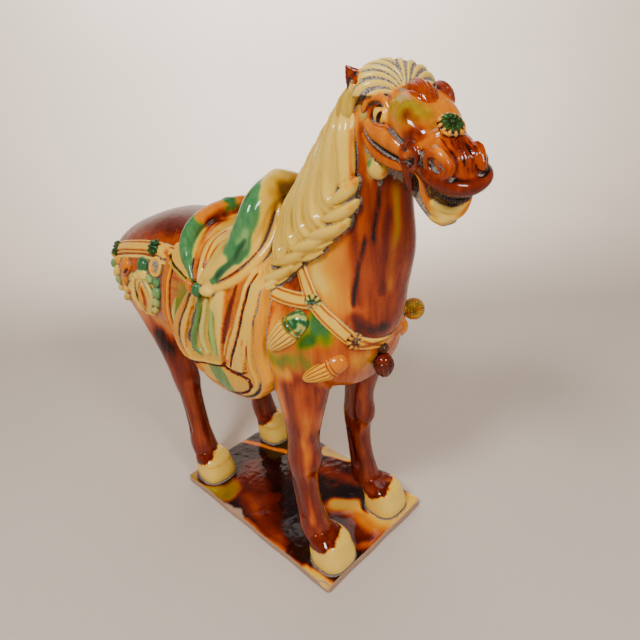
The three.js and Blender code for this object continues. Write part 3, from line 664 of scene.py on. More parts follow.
def build_mane(cell):
    body = WORK["clays"]["horse_body"]
    clay = Clay("mane", (20, -66, 262), (156, 30, 430), cell)
    for number, lock in enumerate(reversed(LOCKS)):
        rows, out = [], []
        crest = body.skin((lock[0][0] + 14, 0, lock[0][1] - 20), (-0.5, 0, 0.86), 60)
        rows.append([crest[0] + 3, 9, crest[2] - 7, 5, 3.4])
        out.append((-0.4, 0.8, 0.4))
        crest[2] -= max(0, lock[0][0] - 100) * 0.15
        rows.append([crest[0], 0, crest[2] + 0.5, lock[0][2], LOCK_THICK])
        out.append((-0.6, -0.1, 0.8))
        for share, (x, z, half) in zip(np.linspace(0, 1, len(lock) - 1), lock[1:]):
            place = body.skin((x, 0, z), (0, -1, 0))
            lift = 1.2 + 3.2 * share ** 2
            rows.append([x, place[1] - lift, z, half, LOCK_THICK * (1 - 0.4 * share ** 3)])
            out.append((0, -1, 0.25))
        clay.add(band(rows, out, strands=2, depth=2.0), 0.2, glaze=(0.07, 0.02))
    # fat leaf-shaped curls along the front edge, each drawn back to a point
    for x, z, end_x, end_z in CURLS:
        curl = []
        for share, half in ((0, 1), (0.3, 3.8), (0.7, 4.8), (1, 2.6)):
            at_x, at_z = x + (end_x - x) * share, z + (end_z - z) * share - 2.5 * math.sin(math.pi * share)
            curl.append([at_x, body.skin((at_x, 0, at_z), (0, -1, 0))[1] - 5, at_z, half, 1.4 + half])
        clay.add(band(curl, (0, -1, 0.25)), 0.2, glaze=(0.07, 0.02))
    return keep(clay)


# Saddle, its knotted cover and the blankets under it

BLANKET_SIDE = 69
BLANKET_EDGE = 3
BLANKET_TOP = 306
BLANKET_INWARD = table("150 9, 163 6, 172 2, 190 0, 245 0, 268 5, 290 20, 301 40, 306 61")
BLANKET_OUTLINE = table("60 312, 62 284, 64 262, 63 252, 62 238, 62 224, 64 212, 66 204, 61 192, 49 180,"
    "31 171, 10 165, -12 161, -32 163, -41 173, -46 181, -54 184, -64 187, -74 195, -82 203, -90 212,"
    "-94 226, -93 241, -90 257, -89 272, -88 312")
SEAT = table("-64 0 286 52 32, -42 0 286 60 28, -8 0 285 62 28, 16 0 288 58 32, 34 0 292 48 38")
POMMEL_PLATE = table("17 0 314 40 40, 26 0 314 43 42, 33 0 313 42 40, 39 0 312 35 34")
CANTLE_PLATE = [[-63, 0, 296, 50, 30], [-56, 0, 297, 51, 31], [-50, 0, 294, 50, 28]]
POMMEL_ROLL = table("-14 70 275 2.5, -4 67 282 5.5, 9 61 291 8, 20 52.5 305 9.6, 26 42 323 10.4,"
    "27 29 340 10.6, 26 14 350 10.2, 25 0 353 10")
CANTLE_ROLL = table("-26 69 277 2.5, -33 65 284 4.6, -42 60 292 7.2, -49 54 302 8, -53 45 312 7.6,"
    "-54 34 319 7, -54 20 324 6.4, -54 0 326 6.4")


class Relief:
    """Low relief on a flat side: heights in mm over x and z, and the glaze brushed on it."""

    def __init__(self, low, high, cell=0.5):
        self.cell, self.low = cell, np.array(low, float)
        self.x = np.arange(low[0], high[0], cell)[:, None]
        self.z = np.arange(low[1], high[1], cell)[None, :]
        shape = (self.x.size, self.z.size)
        self.height = np.zeros(shape, np.float32)
        self.coat = np.zeros((3, *shape), np.float32)

    def line(self, rows):
        """Each cell's distance from a smooth path over the half width there, and the half width."""
        rows = np.array(table(rows) if isinstance(rows, str) else rows, float)
        rows = eased(np.column_stack([rows[:, 0], np.zeros(len(rows)), rows[:, 1:]]), 2.0)[:, [0, 2, 3]]
        best = np.full(self.height.shape, 1e3)
        width = np.ones(self.height.shape)
        for a, b in zip(rows[:-1], rows[1:]):
            go = b[:2] - a[:2]
            t = ((self.x - a[0]) * go[0] + (self.z - a[1]) * go[1]) / max(go @ go, 1e-9)
            t = np.clip(t, 0, 1)
            d = np.hypot(self.x - a[0] - t * go[0], self.z - a[1] - t * go[1])
            half = a[2] + t * (b[2] - a[2])
            closer = d / half < best
            best = np.where(closer, d / half, best)
            width = np.where(closer, half, width)
        return best, width

    def dye(self, share, glaze):
        if glaze is not None:
            for field, amount in zip(self.coat, (*glaze, 0.0)):
                field += (amount - field) * share

    def ridge(self, rows, height, glaze=None, base=0.0):
        """A rounded fold along rows of x, z and half width, laid over what is there."""
        far, width = self.line(rows)
        fold = base + height * np.sqrt(np.clip(1 - far ** 2, 0, 1))
        on = far < 1
        share = np.clip((1.06 - far) * width / 0.8, 0, 1)
        self.height = np.where(on & (fold > self.height), fold, self.height)
        self.dye(share, glaze)

    def groove(self, rows, depth, glaze=None):
        far, width = self.line(rows)
        self.height -= depth * np.clip(1 - far ** 2, 0, 1)
        self.dye(np.clip(2.2 - 1.3 * far, 0, 1), glaze)

    def inside(self, outline):
        """Distance to a closed outline, below nought inside it."""
        outline = np.array(table(outline) if isinstance(outline, str) else outline, float)
        best = np.full(self.height.shape, 1e3)
        odd = np.zeros(self.height.shape, bool)
        for a, b in zip(outline, np.roll(outline, -1, axis=0)):
            go = b - a
            t = np.clip(((self.x - a[0]) * go[0] + (self.z - a[1]) * go[1]) / max(go @ go, 1e-9), 0, 1)
            best = np.minimum(best, np.hypot(self.x - a[0] - t * go[0], self.z - a[1] - t * go[1]))
            crosses = ((a[1] > self.z) != (b[1] > self.z))
            edge = a[0] + (self.z - a[1]) / (go[1] if abs(go[1]) > 1e-9 else 1e-9) * go[0]
            odd ^= crosses & (self.x < edge)
        return np.where(odd, -best, best)

    def panel(self, outline, height, glaze=None, soft=2.0, crown=0.0):
        far = self.inside(outline)
        share = np.clip(0.5 - far / soft, 0, 1)
        share = share * share * (3 - 2 * share)
        swell = height + crown * np.clip(-far / 10, 0, 1)
        self.height += (swell - self.height) * share
        self.dye(np.clip(0.5 - far / 0.9, 0, 1), glaze)

    def over(self, x, z, fields=None):
        """Heights and glaze, or other fields, at a clay grid's own x and z."""
        i = np.clip(np.rint((x.ravel() - self.low[0]) / self.cell), 0, self.x.size - 1).astype(int)
        k = np.clip(np.rint((z.ravel() - self.low[1]) / self.cell), 0, self.z.size - 1).astype(int)
        return [f[i][:, k][:, None, :] for f in fields or (self.height, *self.coat)]


def side_relief():
    """Borders, panels and pleats on the side of the blankets and the cover."""
    r = Relief((-112, 148), (72, 322))
    r.coat[0] = HONEY[0]
    # outer border, a line of soil and the cream border inside it
    r.ridge("60 300 3.2, 60 284 3.2, 60 266 3.2, 59 250 3.2, 58 236 3.2, 57 222 3.2, 60 210 3.4, 61 200 3.4,"
            "55 187 3.4, 42 176 3.4, 24 169 3.2, 4 165 3, -14 163 3, -29 166 3, -37 175 3", 2.8, (0.3, 0.0))
    r.ridge("53 290 2.8, 53 266 3, 51 250 3, 49 236 3, 47 222 3, 47 210 3, 51 200 3, 47 190 3, 37 182 3,"
        "24 175 2.6", 2.6, (0.14, 0.0))
    r.groove("58 290 1.1, 59 275 1.1, 59 266 1.1, 56 259 1.1, 55.5 248 1.1, 54.5 235 1.1, 52.5 220 1.1,"
        "53.5 211 1.2, 56.5 204 1.4, 55 196 1.5, 46 184 1.4, 36 177 1.2, 22 171 1, 4 168 1", 2.2, GREY)
    r.groove("49.5 266 0.6, 47.5 250 0.6, 45.5 236 0.6, 43.6 222 0.6, 43.6 210 0.6, 44 203 0.6", 0.8, RED)
    # rear of the cover: amber above, running to olive by the pleats
    r.panel("-84 296, -70 290, -40 270, -38 262, -52 246, -66 228, -72 210, -78 206, -84 220, -86 246,"
        "-86 270", 1.4, (0.47, 0.0))
    r.panel("-52 264, -40 268, -38 258, -50 244, -62 228, -68 210, -73 210, -74 228, -66 246, -58 256",
        1.4, OLIVE, 3.0)
    r.ridge("-82 286 4.6, -83 271 4.8, -85 257 4.8, -88 241 4.8, -88 226 4.6, -84 211 4.4, -76 201 3.6",
        3, (0.46, 0.0))
    r.ridge("-74 280 1, -76 269 1.2, -78 257 1.2, -80.5 241 1.2, -81 226 1.2, -78 212 1.1", 3.2, GOLD)
    # a groove painted near black as shade
    r.groove("-72 275 0.6, -74 257 0.7, -76.5 241 0.7, -77 226 0.7, -74 212 0.7", 0.8, NEAR_BLACK_AND_SHADE)
    r.ridge("-63 250 1, -67 242 2, -71 233 2.8, -72 226 2.6, -72 219 1", 3, (0.02, 0.1))
    r.ridge("-90 296 4, -82 291 4.6, -72 285 4.6, -60 281 4.4, -46 276 3.6, -33 273 2.6", 4.2, GOLD)
    r.ridge("-78 280 2, -68 277 3, -56 273 3, -42 270 2.4, -33 269 2", 3.4, SAGE)
    r.groove("-82 286 0.9, -70 280 0.9, -58 276.5 0.9, -44 272.5 0.9", 1.6, (0.75, 0.3))
    # amber panel, its dark streak and two cream lines, and the broad cream band before it
    r.panel("14 276, 28 285, 36 294, 39 282, 39 271, 36 258, 31 244, 24 230, 14 211, 8 203, 3 204, 8 219,"
        "12 233, 15 250, 16 264", 1.0, (0.46, 0.0))
    r.ridge("27 280 1.5, 25 268 3, 21 254 3.6, 16 240 3.2, 11 226 2.2", 0.6, (0.78, 0.0), 0.7)
    for shift in (0, 4.4):
        r.ridge([[x + shift, z - shift * 0.3, half] for x, z, half in table("24 243 0.7, 20 236 1.2,"
            "16 228 1.4, 12 220 1.4, 8 211 1")], 1.6, CREAM, 1)
    r.panel("42 296, 43 283, 42 270, 40 258, 35 245, 28 230, 18 212, 12 203, 4 201, 16 198.5, 32 200.5,"
        "40 216, 46 235, 51 252, 54 265, 55 284", 3.0, (0.1, 0.0), crown=0.8)
    r.ridge("36 298 2.4, 40 287 3, 41 273 3, 38.5 261 3, 34 247 3, 27 232 2.8, 16 212 2.2", 3.6,
        (0.08, 0.0), 1.6)
    r.groove("38 290 0.5, 38.6 273 0.5, 36 261 0.5, 31.5 247 0.5, 24.5 232 0.5, 14 212 0.5", 1.2, HONEY)
    # a groove painted near black as shade
    r.groove("44.4 290 0.9, 44.6 273 1, 42.4 260 1, 38 245.5 1, 31 230 1, 20.5 211 1, 17 203 0.8", 2.4, NEAR_BLACK_AND_SHADE)
    for step in range(11):
        share = step / 10
        x, z = 38.5 - 7 * share + 3 * share ** 2, 238 - 34 * share
        r.ridge([[x + 3, z, 0.8], [x + 3, z - 0.6, 0.8]], 0.1, NEAR_BLACK_AND_SHADE, 3.0)
    # a groove painted near black as shade
    r.groove("3 201.5 0.9, 16 199 0.9, 33 201 0.9", 2.2, NEAR_BLACK_AND_SHADE)
    # lower lobe with a green stripe
    r.panel("-50 186, -23 194, -3 200, 21 198, 34 200, 42 195, 40 186, 30 178, 14 171, -8 166.5, -26 167,"
        "-36 176", 2.2, (0.2, 0.05), crown=1.2)
    r.panel("-26 194, -16 181, -8 168, 4 167, 16 171.5, 11 180, 4 191, -2 199", 3.2, (0.12, 0.5), crown=0.5)
    # the lobe's outline, a groove painted near black as shade
    r.groove("4 198.5 0.8, 21 196.5 0.8, 33.5 198 0.9, 40.5 194.5 0.9, 39 187 0.9, 30 179.5 0.9,"
        "16 173 0.8, 2 168.5 0.7", 1.6, NEAR_BLACK_AND_SHADE)
    r.ridge("-51 189 3.6, -45 184.5 4.6, -38 179.5 3.6", 4, (0.4, 0.0), 1)
    # pleats that fan from the knot
    r.panel("-34 270, -8 272, 8 272, 12 252, 11 236, 8 219, 3 201, -12 195, -24 192.5, -46 187, -60 186,"
        "-72 190, -75 206, -72 220, -60 238, -46 254", 2.6, (0.16, 0.06))
    pleats = [("-35 263 2, -45 250 3.4, -57 234 4.8, -66 219 5.4, -69 206 5.4, -67 196 4.6, -61 189 3.5",
        (0.3, 0.0)), ("-28 262 2.5, -36 246 4.6, -47 229 6, -54 213 6.6, -55.5 201 6.2, -51 192 4.4",
        (0.13, 0.0)), ("-17 263 2.2, -21 248 3.2, -27 234 3.8, -35 219 4.2, -37 207 4, -30 202 2.6",
        (0.1, 0.52)), ("-8 261 2, -12 246 3.2, -18 231 4, -20 218 4, -15 208 3", (0.02, 0.12)),
        ("1 262 2, 0 249 2.8, -2 237 3.4, -2 225 3.4, 0 212 2.6", (0.05, 0.3))]
    for rows, glaze in pleats:
        r.ridge(rows, 3.8, glaze, 2.6)
    for rows, half, glaze in (("-33 263 1, -41 248 1.1, -53 231 1.2, -61.5 215 1.3, -63 200 1.3,"
            "-58 192 1.2", 1, GREY), ("-30 250 0.6, -42 228 0.7, -50 212 0.7, -52 202 0.7", 1, AMBER),
            ("-22 261 1.2, -28.5 246 1.5, -38 228 1.7, -46 211 1.8, -45 199 1.6", 1, GREY),
            ("-12.5 260 1, -16 247 1.1, -22 231 1.2, -28.5 217 1.2, -27 206 1", 1, GREY), ("-3.5 260 1,"
            "-5 247 1.1, -8 235 1.2, -10 225 1.2, -7 212 1.2", 1, OLIVE)):
        r.groove(rows, 3.0, glaze)
    r.panel("-8 268, 14 277, 16.5 264, 15.5 250, 12 233, 8 219, 3 203, 4 220, 5 235, 4.5 250, 0 262", 5.2,
        CREAM, crown=0.8)
    r.ridge("-68 193 1.6, -60 187.5 2, -46 189 2, -24 195 2, -12 197.5 1.8, 3 201.5 1.4", 2.4, GOLD, 3)
    # a groove below it painted near black as shade
    r.groove("-60 184.6 0.8, -46 186 0.9, -24 192 0.9, -12 194.6 0.9, 2 198.6 0.9", 2, NEAR_BLACK_AND_SHADE)
    return r


def build_saddle(cell):
    clay = Clay("saddle_and_blankets", (-110, -84, 152), (66, 84, 374), cell)
    relief = side_relief()
    rim = relief.inside(BLANKET_OUTLINE)

    def blanket(side):
        inward = np.array(BLANKET_INWARD, float)

        def far(x, y, z):
            height, edge = relief.over(x, z, (relief.height, rim))
            fade = np.clip((300 - z) / 16, 0, 1)
            half = BLANKET_SIDE - through(z.ravel(), inward[:, 0], inward[:, 1:])[:, 0].reshape(z.shape)
            steep = np.gradient(half.ravel(), z.ravel()).reshape(z.shape)
            face = (side * y - half - height * fade) / np.hypot(1, steep)
            pad = rounded(face, edge, BLANKET_EDGE)
            return np.maximum(np.maximum(pad, -side * y - 1), z - BLANKET_TOP).astype(np.float32)

        return Shape(far, (-104, min(0, side * 78), 152), (68, max(0, side * 78), 308))

    for side in (RIGHT, LEFT):
        clay.add(blanket(side))
    cut, x, y, z = clay.block(clay.low, clay.low + clay.cell * clay.count, 0)
    for field, dye in zip(clay.coat, relief.over(x, z)[1:]):
        field[cut] = dye
    clay.add(limb(0, SEAT, 2.3), 3, GOLD)
    clay.add(limb(0, POMMEL_PLATE, 2.4), 4, (0.22, 0.1))
    clay.add(limb(0, CANTLE_PLATE, 2.2), 4, (0.55, 0.0))
    for side in (RIGHT, LEFT):
        def lay(rows, blend, glaze, out=(0, side * 0.8, 0.6)):
            clay.add(band(mirrored(table(rows), side), out), blend, glaze)

        def score(rows, glaze, blend=0.5):
            rows = table(rows) if isinstance(rows, str) else rows
            clay.cut(band(mirrored(rows, side)), blend, glaze)

        clay.add(band(mirrored(POMMEL_ROLL, side)), 8, (0.1, 0.02))
        clay.add(band(mirrored(CANTLE_ROLL, side)), 3, GREEN)
        # folds of the cover over the seat, drawn together at the knot
        lay("-46 10 311 4 3, -47 21 312 5 3.4, -42 34 308 5.5 3.6, -36 44 303.5 5.5 3.6,"
            "-29 55 296 5 3.4, -24 63 288 4.4 3.2, -18 70 280 3.4 3", 0.5, (0.52, 0.0))
        score("-52 26 312 1, -49 36 307.5 1.3, -44 43.5 304 1.6, -36 54 297 1.7, -31 62 288.5 1.6,"
            "-22 70.5 281 1.4", GREY)
        lay("-24 12 311 6 3.6, -24 28 309 7 4, -21 44 304 7 4, -17 56 296.5 6 3.8, -13 65 288.5 4.4 3.4,"
            "-11 71 280 2.6 3", 0.5, CREAM)
        lay("0 12 313 6 3.8, -1 30 310 7.5 4.2, -1 45 303.5 7.5 4.2, -3 57 295 6 4, -5 66 287 4 3.6,"
            "-8 71.5 279 2.4 3", 0.5, (0.12, 0.12))
        # dark lines scored between the folds, the last ones near black: painted shade of the folds
        score("-31 30 311.5 0.6, -29.5 44 307 0.7, -25 56.5 299 0.7, -19 66 288 0.7", (0.75, 0.0))
        score("-12 28 313 0.6, -11 44 307.5 0.8, -9.5 56 299.5 0.8, -8 66 289.5 0.8", (0.82, 0.1))
        for shift, depth in ((5, 0.5), (24, 0.55)):
            score([[x + shift, y, z + 0.4, depth] for x, y, z in table("-25 30 312, -24 44 308,"
                "-19.5 56.5 300, -15 66 290.5")], NEAR_BLACK_AND_SHADE)
        # folds that come out of the pommel's face and run down to the knot
        lay("36 19 343 2 1.6, 36.5 26 333 4 2.6, 35 33 321 5 3.2, 33 41 308.5 5.4 3.6, 26 52 297 5.4 3.8,"
            "13 62 286.5 5 3.6, -2 69.5 276 3.6 3.2", 1.6, (0.1, 0.0))
        lay("38.5 13 338 2.4 1.8, 41 20 325 4 2.8, 41 29 312 5 3.4, 38 39 302 5.4 3.8,"
            "31 50 291.5 5.6 3.8, 19 60 281.5 5.4 3.8, 4 68 274.5 4 3.4", 1.6, (0.12, 0.0))
        lay("44 16 322 2 2, 45.5 26 306 4 3, 44 36 296 4 3, 41 46 288 3 2.4, 38 52 282 1.2 1", 1.6,
            (0.16, 0.0))
        # a dark line scored between the folds: painted shade
        score("38.4 19 334.5 0.6, 38.6 26.5 322 0.8, 38 35 311 0.9, 34.5 46.5 301 0.9, 25 58.5 290 0.9,"
            "10 67.5 281 0.8", (0.75, 0.1))
        # knot: an amber lump, a green lump and the cream corner of the cloth
        clay.add(ball((-28, side * 71.5, 271), (5, 5, 7), (0, -14, 0)), 0.6, AMBER)
        clay.add(ball((-14, side * 73.5, 271), (5.4, 5.4, 7.4), (0, 22, 0)), 0.6, (0.06, 0.72))
        clay.add(ball((-2, side * 72, 272), (8.5, 5, 5), (0, -6, 0)), 0.6, CREAM)
        clay.cut(band([[-21, side * 77.5, 277, 1], [-22, side * 77.5, 266, 1]]), 0.5, GREY)
    clay.cut(ball((0, 0, 350), (16, 34, 34)), 3)
    return keep(clay)


# Harness: straps in relief on the skin

EDGE_LINE = (0.66, 0.1, 0.42)
NECK_FOOT = (60, 215)
NECK_LEAN = 0.37
BREAST_STRAP = table("318 120, 300 94, 277 66, 261 43, 247 27, 238 0")
SHOULDER_STRAP = table("52 281, 62 279, 76 277.5, 90 277, 102 277")
CRUPPER_STRAP = table("-84 286, -106 287, -128 286, -152 283, -179 278, -206 270, -228 262")
CRUPPER_EDGE = table("-84 276, -106 277, -128 276.5, -152 273.5, -179 268, -204 260")


def round_neck(rows, side, lift=0.0):
    """Places on the neck's skin, from z and degrees round from the front, and their directions."""
    body = WORK["clays"]["horse_body"]
    places, out = [], []
    for z, degrees in rows:
        turn = math.radians(degrees)
        away = np.array((math.cos(turn), math.sin(turn) * side, 0))
        x = NECK_FOOT[0] + max(z - NECK_FOOT[1], 0) * NECK_LEAN
        places.append(body.skin((x, 0, z), away) + away * lift)
        out.append(away)
    return np.array(places), np.array(out)


def on_side(rows, side, lift=0.0):
    """Places on the side of the trunk's skin, from x and z, and the directions out of the skin there."""
    body = WORK["clays"]["horse_body"]
    places = np.array([body.skin((x, 0, z), (0, side, 0)) for x, z in rows])
    out = np.column_stack([body.value(places + step) - body.value(places - step)
        for step in np.identity(3) * 3])
    out /= np.linalg.norm(out, axis=1)[:, None]
    return places + out * lift, out


def add_strap(clay, places, half, proud, glaze, edges=True):
    """A strap in relief along places on the skin, with a dark line along each edge."""
    body = WORK["clays"]["horse_body"]
    route = eased(places, 2.0)
    finder = band(np.column_stack([route, np.full(len(route), 1.0)]), step=2.0)

    def spread(x, y, z):
        away = body.over(x, y, z)
        reach = finder.far(x, y, z) + 1.0
        across = np.sqrt(np.clip(reach ** 2 - np.clip(away, 0, None) ** 2, 0, None))
        share = np.clip(across / half, 0, 1)
        line = np.exp(-((share - 0.64) / 0.12) ** 2) if edges else 0 * share
        return away, across, share, line

    def far(x, y, z):
        away, across, share, line = spread(x, y, z)
        high = proud * (1 - 0.42 * line - 0.5 * share ** 6)
        return np.maximum(np.maximum(away - high, across - half), -away - 3)

    reach = half + proud + 2
    shape = Shape(far, route.min(0) - reach, route.max(0) + reach)
    clay.add(shape, 0.0, glaze)
    if edges:
        cut, x, y, z = clay.block(shape.low, shape.high, 0)
        clay.tint(cut, spread(x, y, z)[3], EDGE_LINE)


def build_breast_straps(cell, half, proud):
    clay = Clay("breast_straps", (40, -72, 225), (160, 72, 334), cell)
    for side in (RIGHT, LEFT):
        glaze = (0.1, 0.0) if side == RIGHT else AMBER
        places, _ = on_side(SHOULDER_STRAP, side)
        add_strap(clay, places, half * 1.05, proud, glaze)
        places, _ = round_neck(BREAST_STRAP, side)
        add_strap(clay, places, half, proud, glaze)
    return keep(clay)


# Ornaments cast with the crupper, alike on both sides: x, z, two radii, how proud, and their glaze
PALMETTE_LOBES = [(-147, 252, 7, 6, 5, SAGE), (-152, 241, 6, 6.5, 5, (0.06, 0.06)),
    (-153, 229, 5, 6, 4.6, (0.1, 0.02)), (-149, 219, 5, 5, 4.2, (0.1, 0.0)),
    (-139, 214, 5, 4, 4, (0.08, 0.04)), (-128, 216, 5, 4.6, 4.4, CREAM),
    (-117, 223, 5.4, 5, 5, (0.03, 0.14)), (-109, 233, 5.6, 6, 5.2, PALE_GREEN),
    (-103, 245, 6, 7, 5.4, (0.04, 0.42)), (-101, 256, 5, 5, 4.6, (0.05, 0.5)),
    (-138, 256, 5.5, 5, 5, CREAM), (-114, 257, 6, 5, 5, (0.04, 0.3))]
BEADS = [(-161, 262, 9.5, 9.5, 6, (0.4, 0.0)), (-165, 246, 5, 5, 4.6, (0.34, 0.06)),
    (-168, 235, 4.4, 4.4, 4.2, GOLD), (-172, 225, 4, 4, 4, (0.14, 0.08)),
    (-181, 221, 4.4, 4.4, 4, (0.2, 0.1)), (-184, 264, 5, 5, 4.4, HONEY), (-188, 252, 5, 6, 4.6, CREAM),
    (-192, 240, 4.6, 5.6, 4.4, PALE_GREEN), (-195, 229, 4.4, 4.6, 4, CREAM),
    (-205, 266, 5.4, 5.4, 4.6, SAGE), (-208, 254, 5, 6, 4.6, (0.05, 0.4)),
    (-209, 242, 4.6, 5.6, 4.4, CREAM), (-209, 231, 4.4, 5, 4, (0.1, 0.1)), (-222, 258, 4.4, 5, 4, GOLD)]


def build_crupper(cell, half, proud):
    clay = Clay("crupper_straps", (-244, -80, 206), (-76, 80, 304), cell)
    for side in (RIGHT, LEFT):
        def lump(x, z, along, high, proud, glaze, blend=0.5, lift=0.6):
            place, out = on_side([[x, z]], side, lift)
            turn = math.degrees(math.atan2(out[0][2], side * out[0][1]))
            clay.add(ball(place[0], (along, proud, high), (side * turn, 0, 0)), blend, glaze)

        def vein(rows, lift, blend, glaze, cut=False):
            rows = np.array(table(rows))
            places, out = on_side(rows[:, :2], side, lift)
            shape = band(np.column_stack([places, rows[:, 2:]]), out)
            if cut:
                clay.cut(shape, blend, glaze)
            else:
                clay.add(shape, blend, glaze)

        places, _ = on_side(CRUPPER_STRAP, side)
        add_strap(clay, places, half, proud, GOLD)
        places, _ = on_side(CRUPPER_EDGE, side)
        add_strap(clay, places, 1.9, 2.2, CREAM, False)
        vein("-92 285 7 3, -101 286.5 7 3", 1.6, 0.4, (0.12, 0.0))
        vein("-90 285 2.6 2, -90 286 2.6 2", 3.4, 0.5, AMBER)
        # leaf: a cup with its collar, lobes down both sides, a drop in the middle
        vein("-127 262 8 3, -128 250 18 3.4, -131 236 17 3.4, -135 224 11 3, -138 216 4 2.4", 0, 0.5, CREAM)
        for lobe in PALMETTE_LOBES:
            lump(*lobe)
        vein("-127 258 9 4.4, -127 262 8.6 4.4", 2, 0.5, CREAM)
        lump(-127, 269, 8.6, 8.4, 6.6, (0.08, 0.8))
        vein("-133 250 1.4 1.4, -142 236 1.4 1.4, -143 224 1.2 1.2, -137 216 1 1", 3.4, 0.4, GREY, True)
        vein("-127 252 1.4 1.4, -119 240 1.4 1.4, -122 228 1.2 1.2, -133 218 1 1", 3.4, 0.4, GREY, True)
        vein("-129 248 2.4 2.4, -131 238 6 4, -135 228 5.6 4, -138 220 2 2", 3, 0.4, (0.26, 0.0))
        # a line cut down the leaf, painted near black as shade
        vein("-128 246 0.9 1, -126 236 0.9 1, -131 224 0.9 1", 6, 0.3, NEAR_BLACK_AND_SHADE, True)
        vein("-116 252 2 2, -110 242 2.6 2.4, -116 230 2.4 2.2, -124 220 1.6 1.6", 4.4, 0.4, (0.04, 0.06))
        vein("-142 252 1.8 2, -147 240 2.2 2.2, -147 228 2 2, -140 218 1.4 1.6", 4.2, 0.4, CREAM)
        # ring with a dull middle
        lump(-102, 271, 9.6, 9.4, 3.6, GREY)
        rim = ring_rows((-102, 0, 271), 8.4, 8, 1.7)
        vein(", ".join(f"{x} {z} {h} {h}" for x, _, z, h in rim), 2.8, 0.4, GOLD)
        lump(-104, 268.5, 4, 4, 3.4, (0.3, 0.0), lift=1.6)
        for bead in BEADS:
            lump(*bead)
        # lines cut round three beads, painted near black as shade
        for x, z in ((-161, 262), (-188, 252), (-208, 254)):
            vein(f"{x - 7} {z - 1} 0.9 1, {x} {z - 7} 0.9 1, {x + 7} {z - 2} 0.9 1", 4.4, 0.3, NEAR_BLACK_AND_SHADE, True)
    return keep(clay)


# Nodes


def socket_of(source):
    return source.outputs[0] if isinstance(source, bpy.types.Node) else source


def put(tree, kind, settings=None, links=None):
    """Adds a node: settings are its own values or its inputs', links feed its inputs. A link from a
    node stands for its first output."""
    node = tree.nodes.new(kind)
    for key, value in (settings or {}).items():
        if isinstance(key, str) and hasattr(node, key):
            setattr(node, key, value)
        else:
            node.inputs[key].default_value = value
    for key, source in (links or {}).items():
        tree.links.new(socket_of(source), node.inputs[key])
    return node


def start_tree(name, inputs):
    tree = bpy.data.node_groups.new(name, "GeometryNodeTree")
    for label, kind, value in inputs:
        socket = tree.interface.new_socket(label, in_out="INPUT", socket_type="NodeSocket" + kind)
        if value is not None:
            socket.default_value = value
    tree.interface.new_socket("Geometry", in_out="OUTPUT", socket_type="NodeSocketGeometry")
    return tree, tree.nodes.new("NodeGroupInput").outputs


def end_tree(tree, parts, coat):
    whole = put(tree, "GeometryNodeJoinGeometry")
    for part in parts:
        tree.links.new(socket_of(part), whole.inputs[0])
    real = put(tree, "GeometryNodeRealizeInstances", links={"Geometry": whole})
    done = put(tree, "GeometryNodeSetMaterial", links={"Geometry": real, "Material": coat})
    out = tree.nodes.new("NodeGroupOutput")
    tree.links.new(socket_of(done), out.inputs[0])


def rosette_tree():
    """Petals set round a boss on a low disc."""
    tree, given = start_tree("Rosette", [("Petals", "Int", 8), ("Radius", "Float", 7.0),
        ("Petal Thick", "Float", 2.0), ("Petal Wide", "Float", 0.2), ("Boss Radius", "Float", 2.2),
        ("Disc Thick", "Float", 1.2), ("Coat", "Material", None)])
    ring_radius = put(tree, "ShaderNodeMath", {"operation": "MULTIPLY", 1: 0.64}, {0: given["Radius"]})
    long = put(tree, "ShaderNodeMath", {"operation": "MULTIPLY", 1: 0.36}, {0: given["Radius"]})
    wide = put(tree, "ShaderNodeMath", {"operation": "MULTIPLY"},
        {0: given["Radius"], 1: given["Petal Wide"]})
    ring = put(tree, "GeometryNodeMeshCircle", links={"Vertices": given["Petals"], "Radius": ring_radius})
    petal = put(tree, "GeometryNodeMeshUVSphere", {"Segments": 10, "Rings": 7, "Radius": 1.0})
    place = put(tree, "GeometryNodeInputPosition")
    turn = put(tree, "FunctionNodeAlignRotationToVector", {"axis": "X"}, {"Vector": place})
    size = put(tree, "ShaderNodeCombineXYZ", links={0: long, 1: wide, 2: given["Petal Thick"]})
    petals = put(tree, "GeometryNodeInstanceOnPoints", links={"Points": ring, "Instance": petal,
        "Rotation": turn, "Scale": size})
    boss = put(tree, "GeometryNodeMeshUVSphere", {"Segments": 14, "Rings": 8},
        {"Radius": given["Boss Radius"]})
    disc_size = put(tree, "ShaderNodeCombineXYZ", links={0: given["Radius"], 1: given["Radius"],
        2: given["Disc Thick"]})
    disc = put(tree, "GeometryNodeMeshUVSphere", {"Segments": 28, "Rings": 8, "Radius": 1.0})
    flat = put(tree, "GeometryNodeTransform", links={"Geometry": disc, "Scale": disc_size})
    end_tree(tree, [petals, boss, flat], given["Coat"])
    return tree


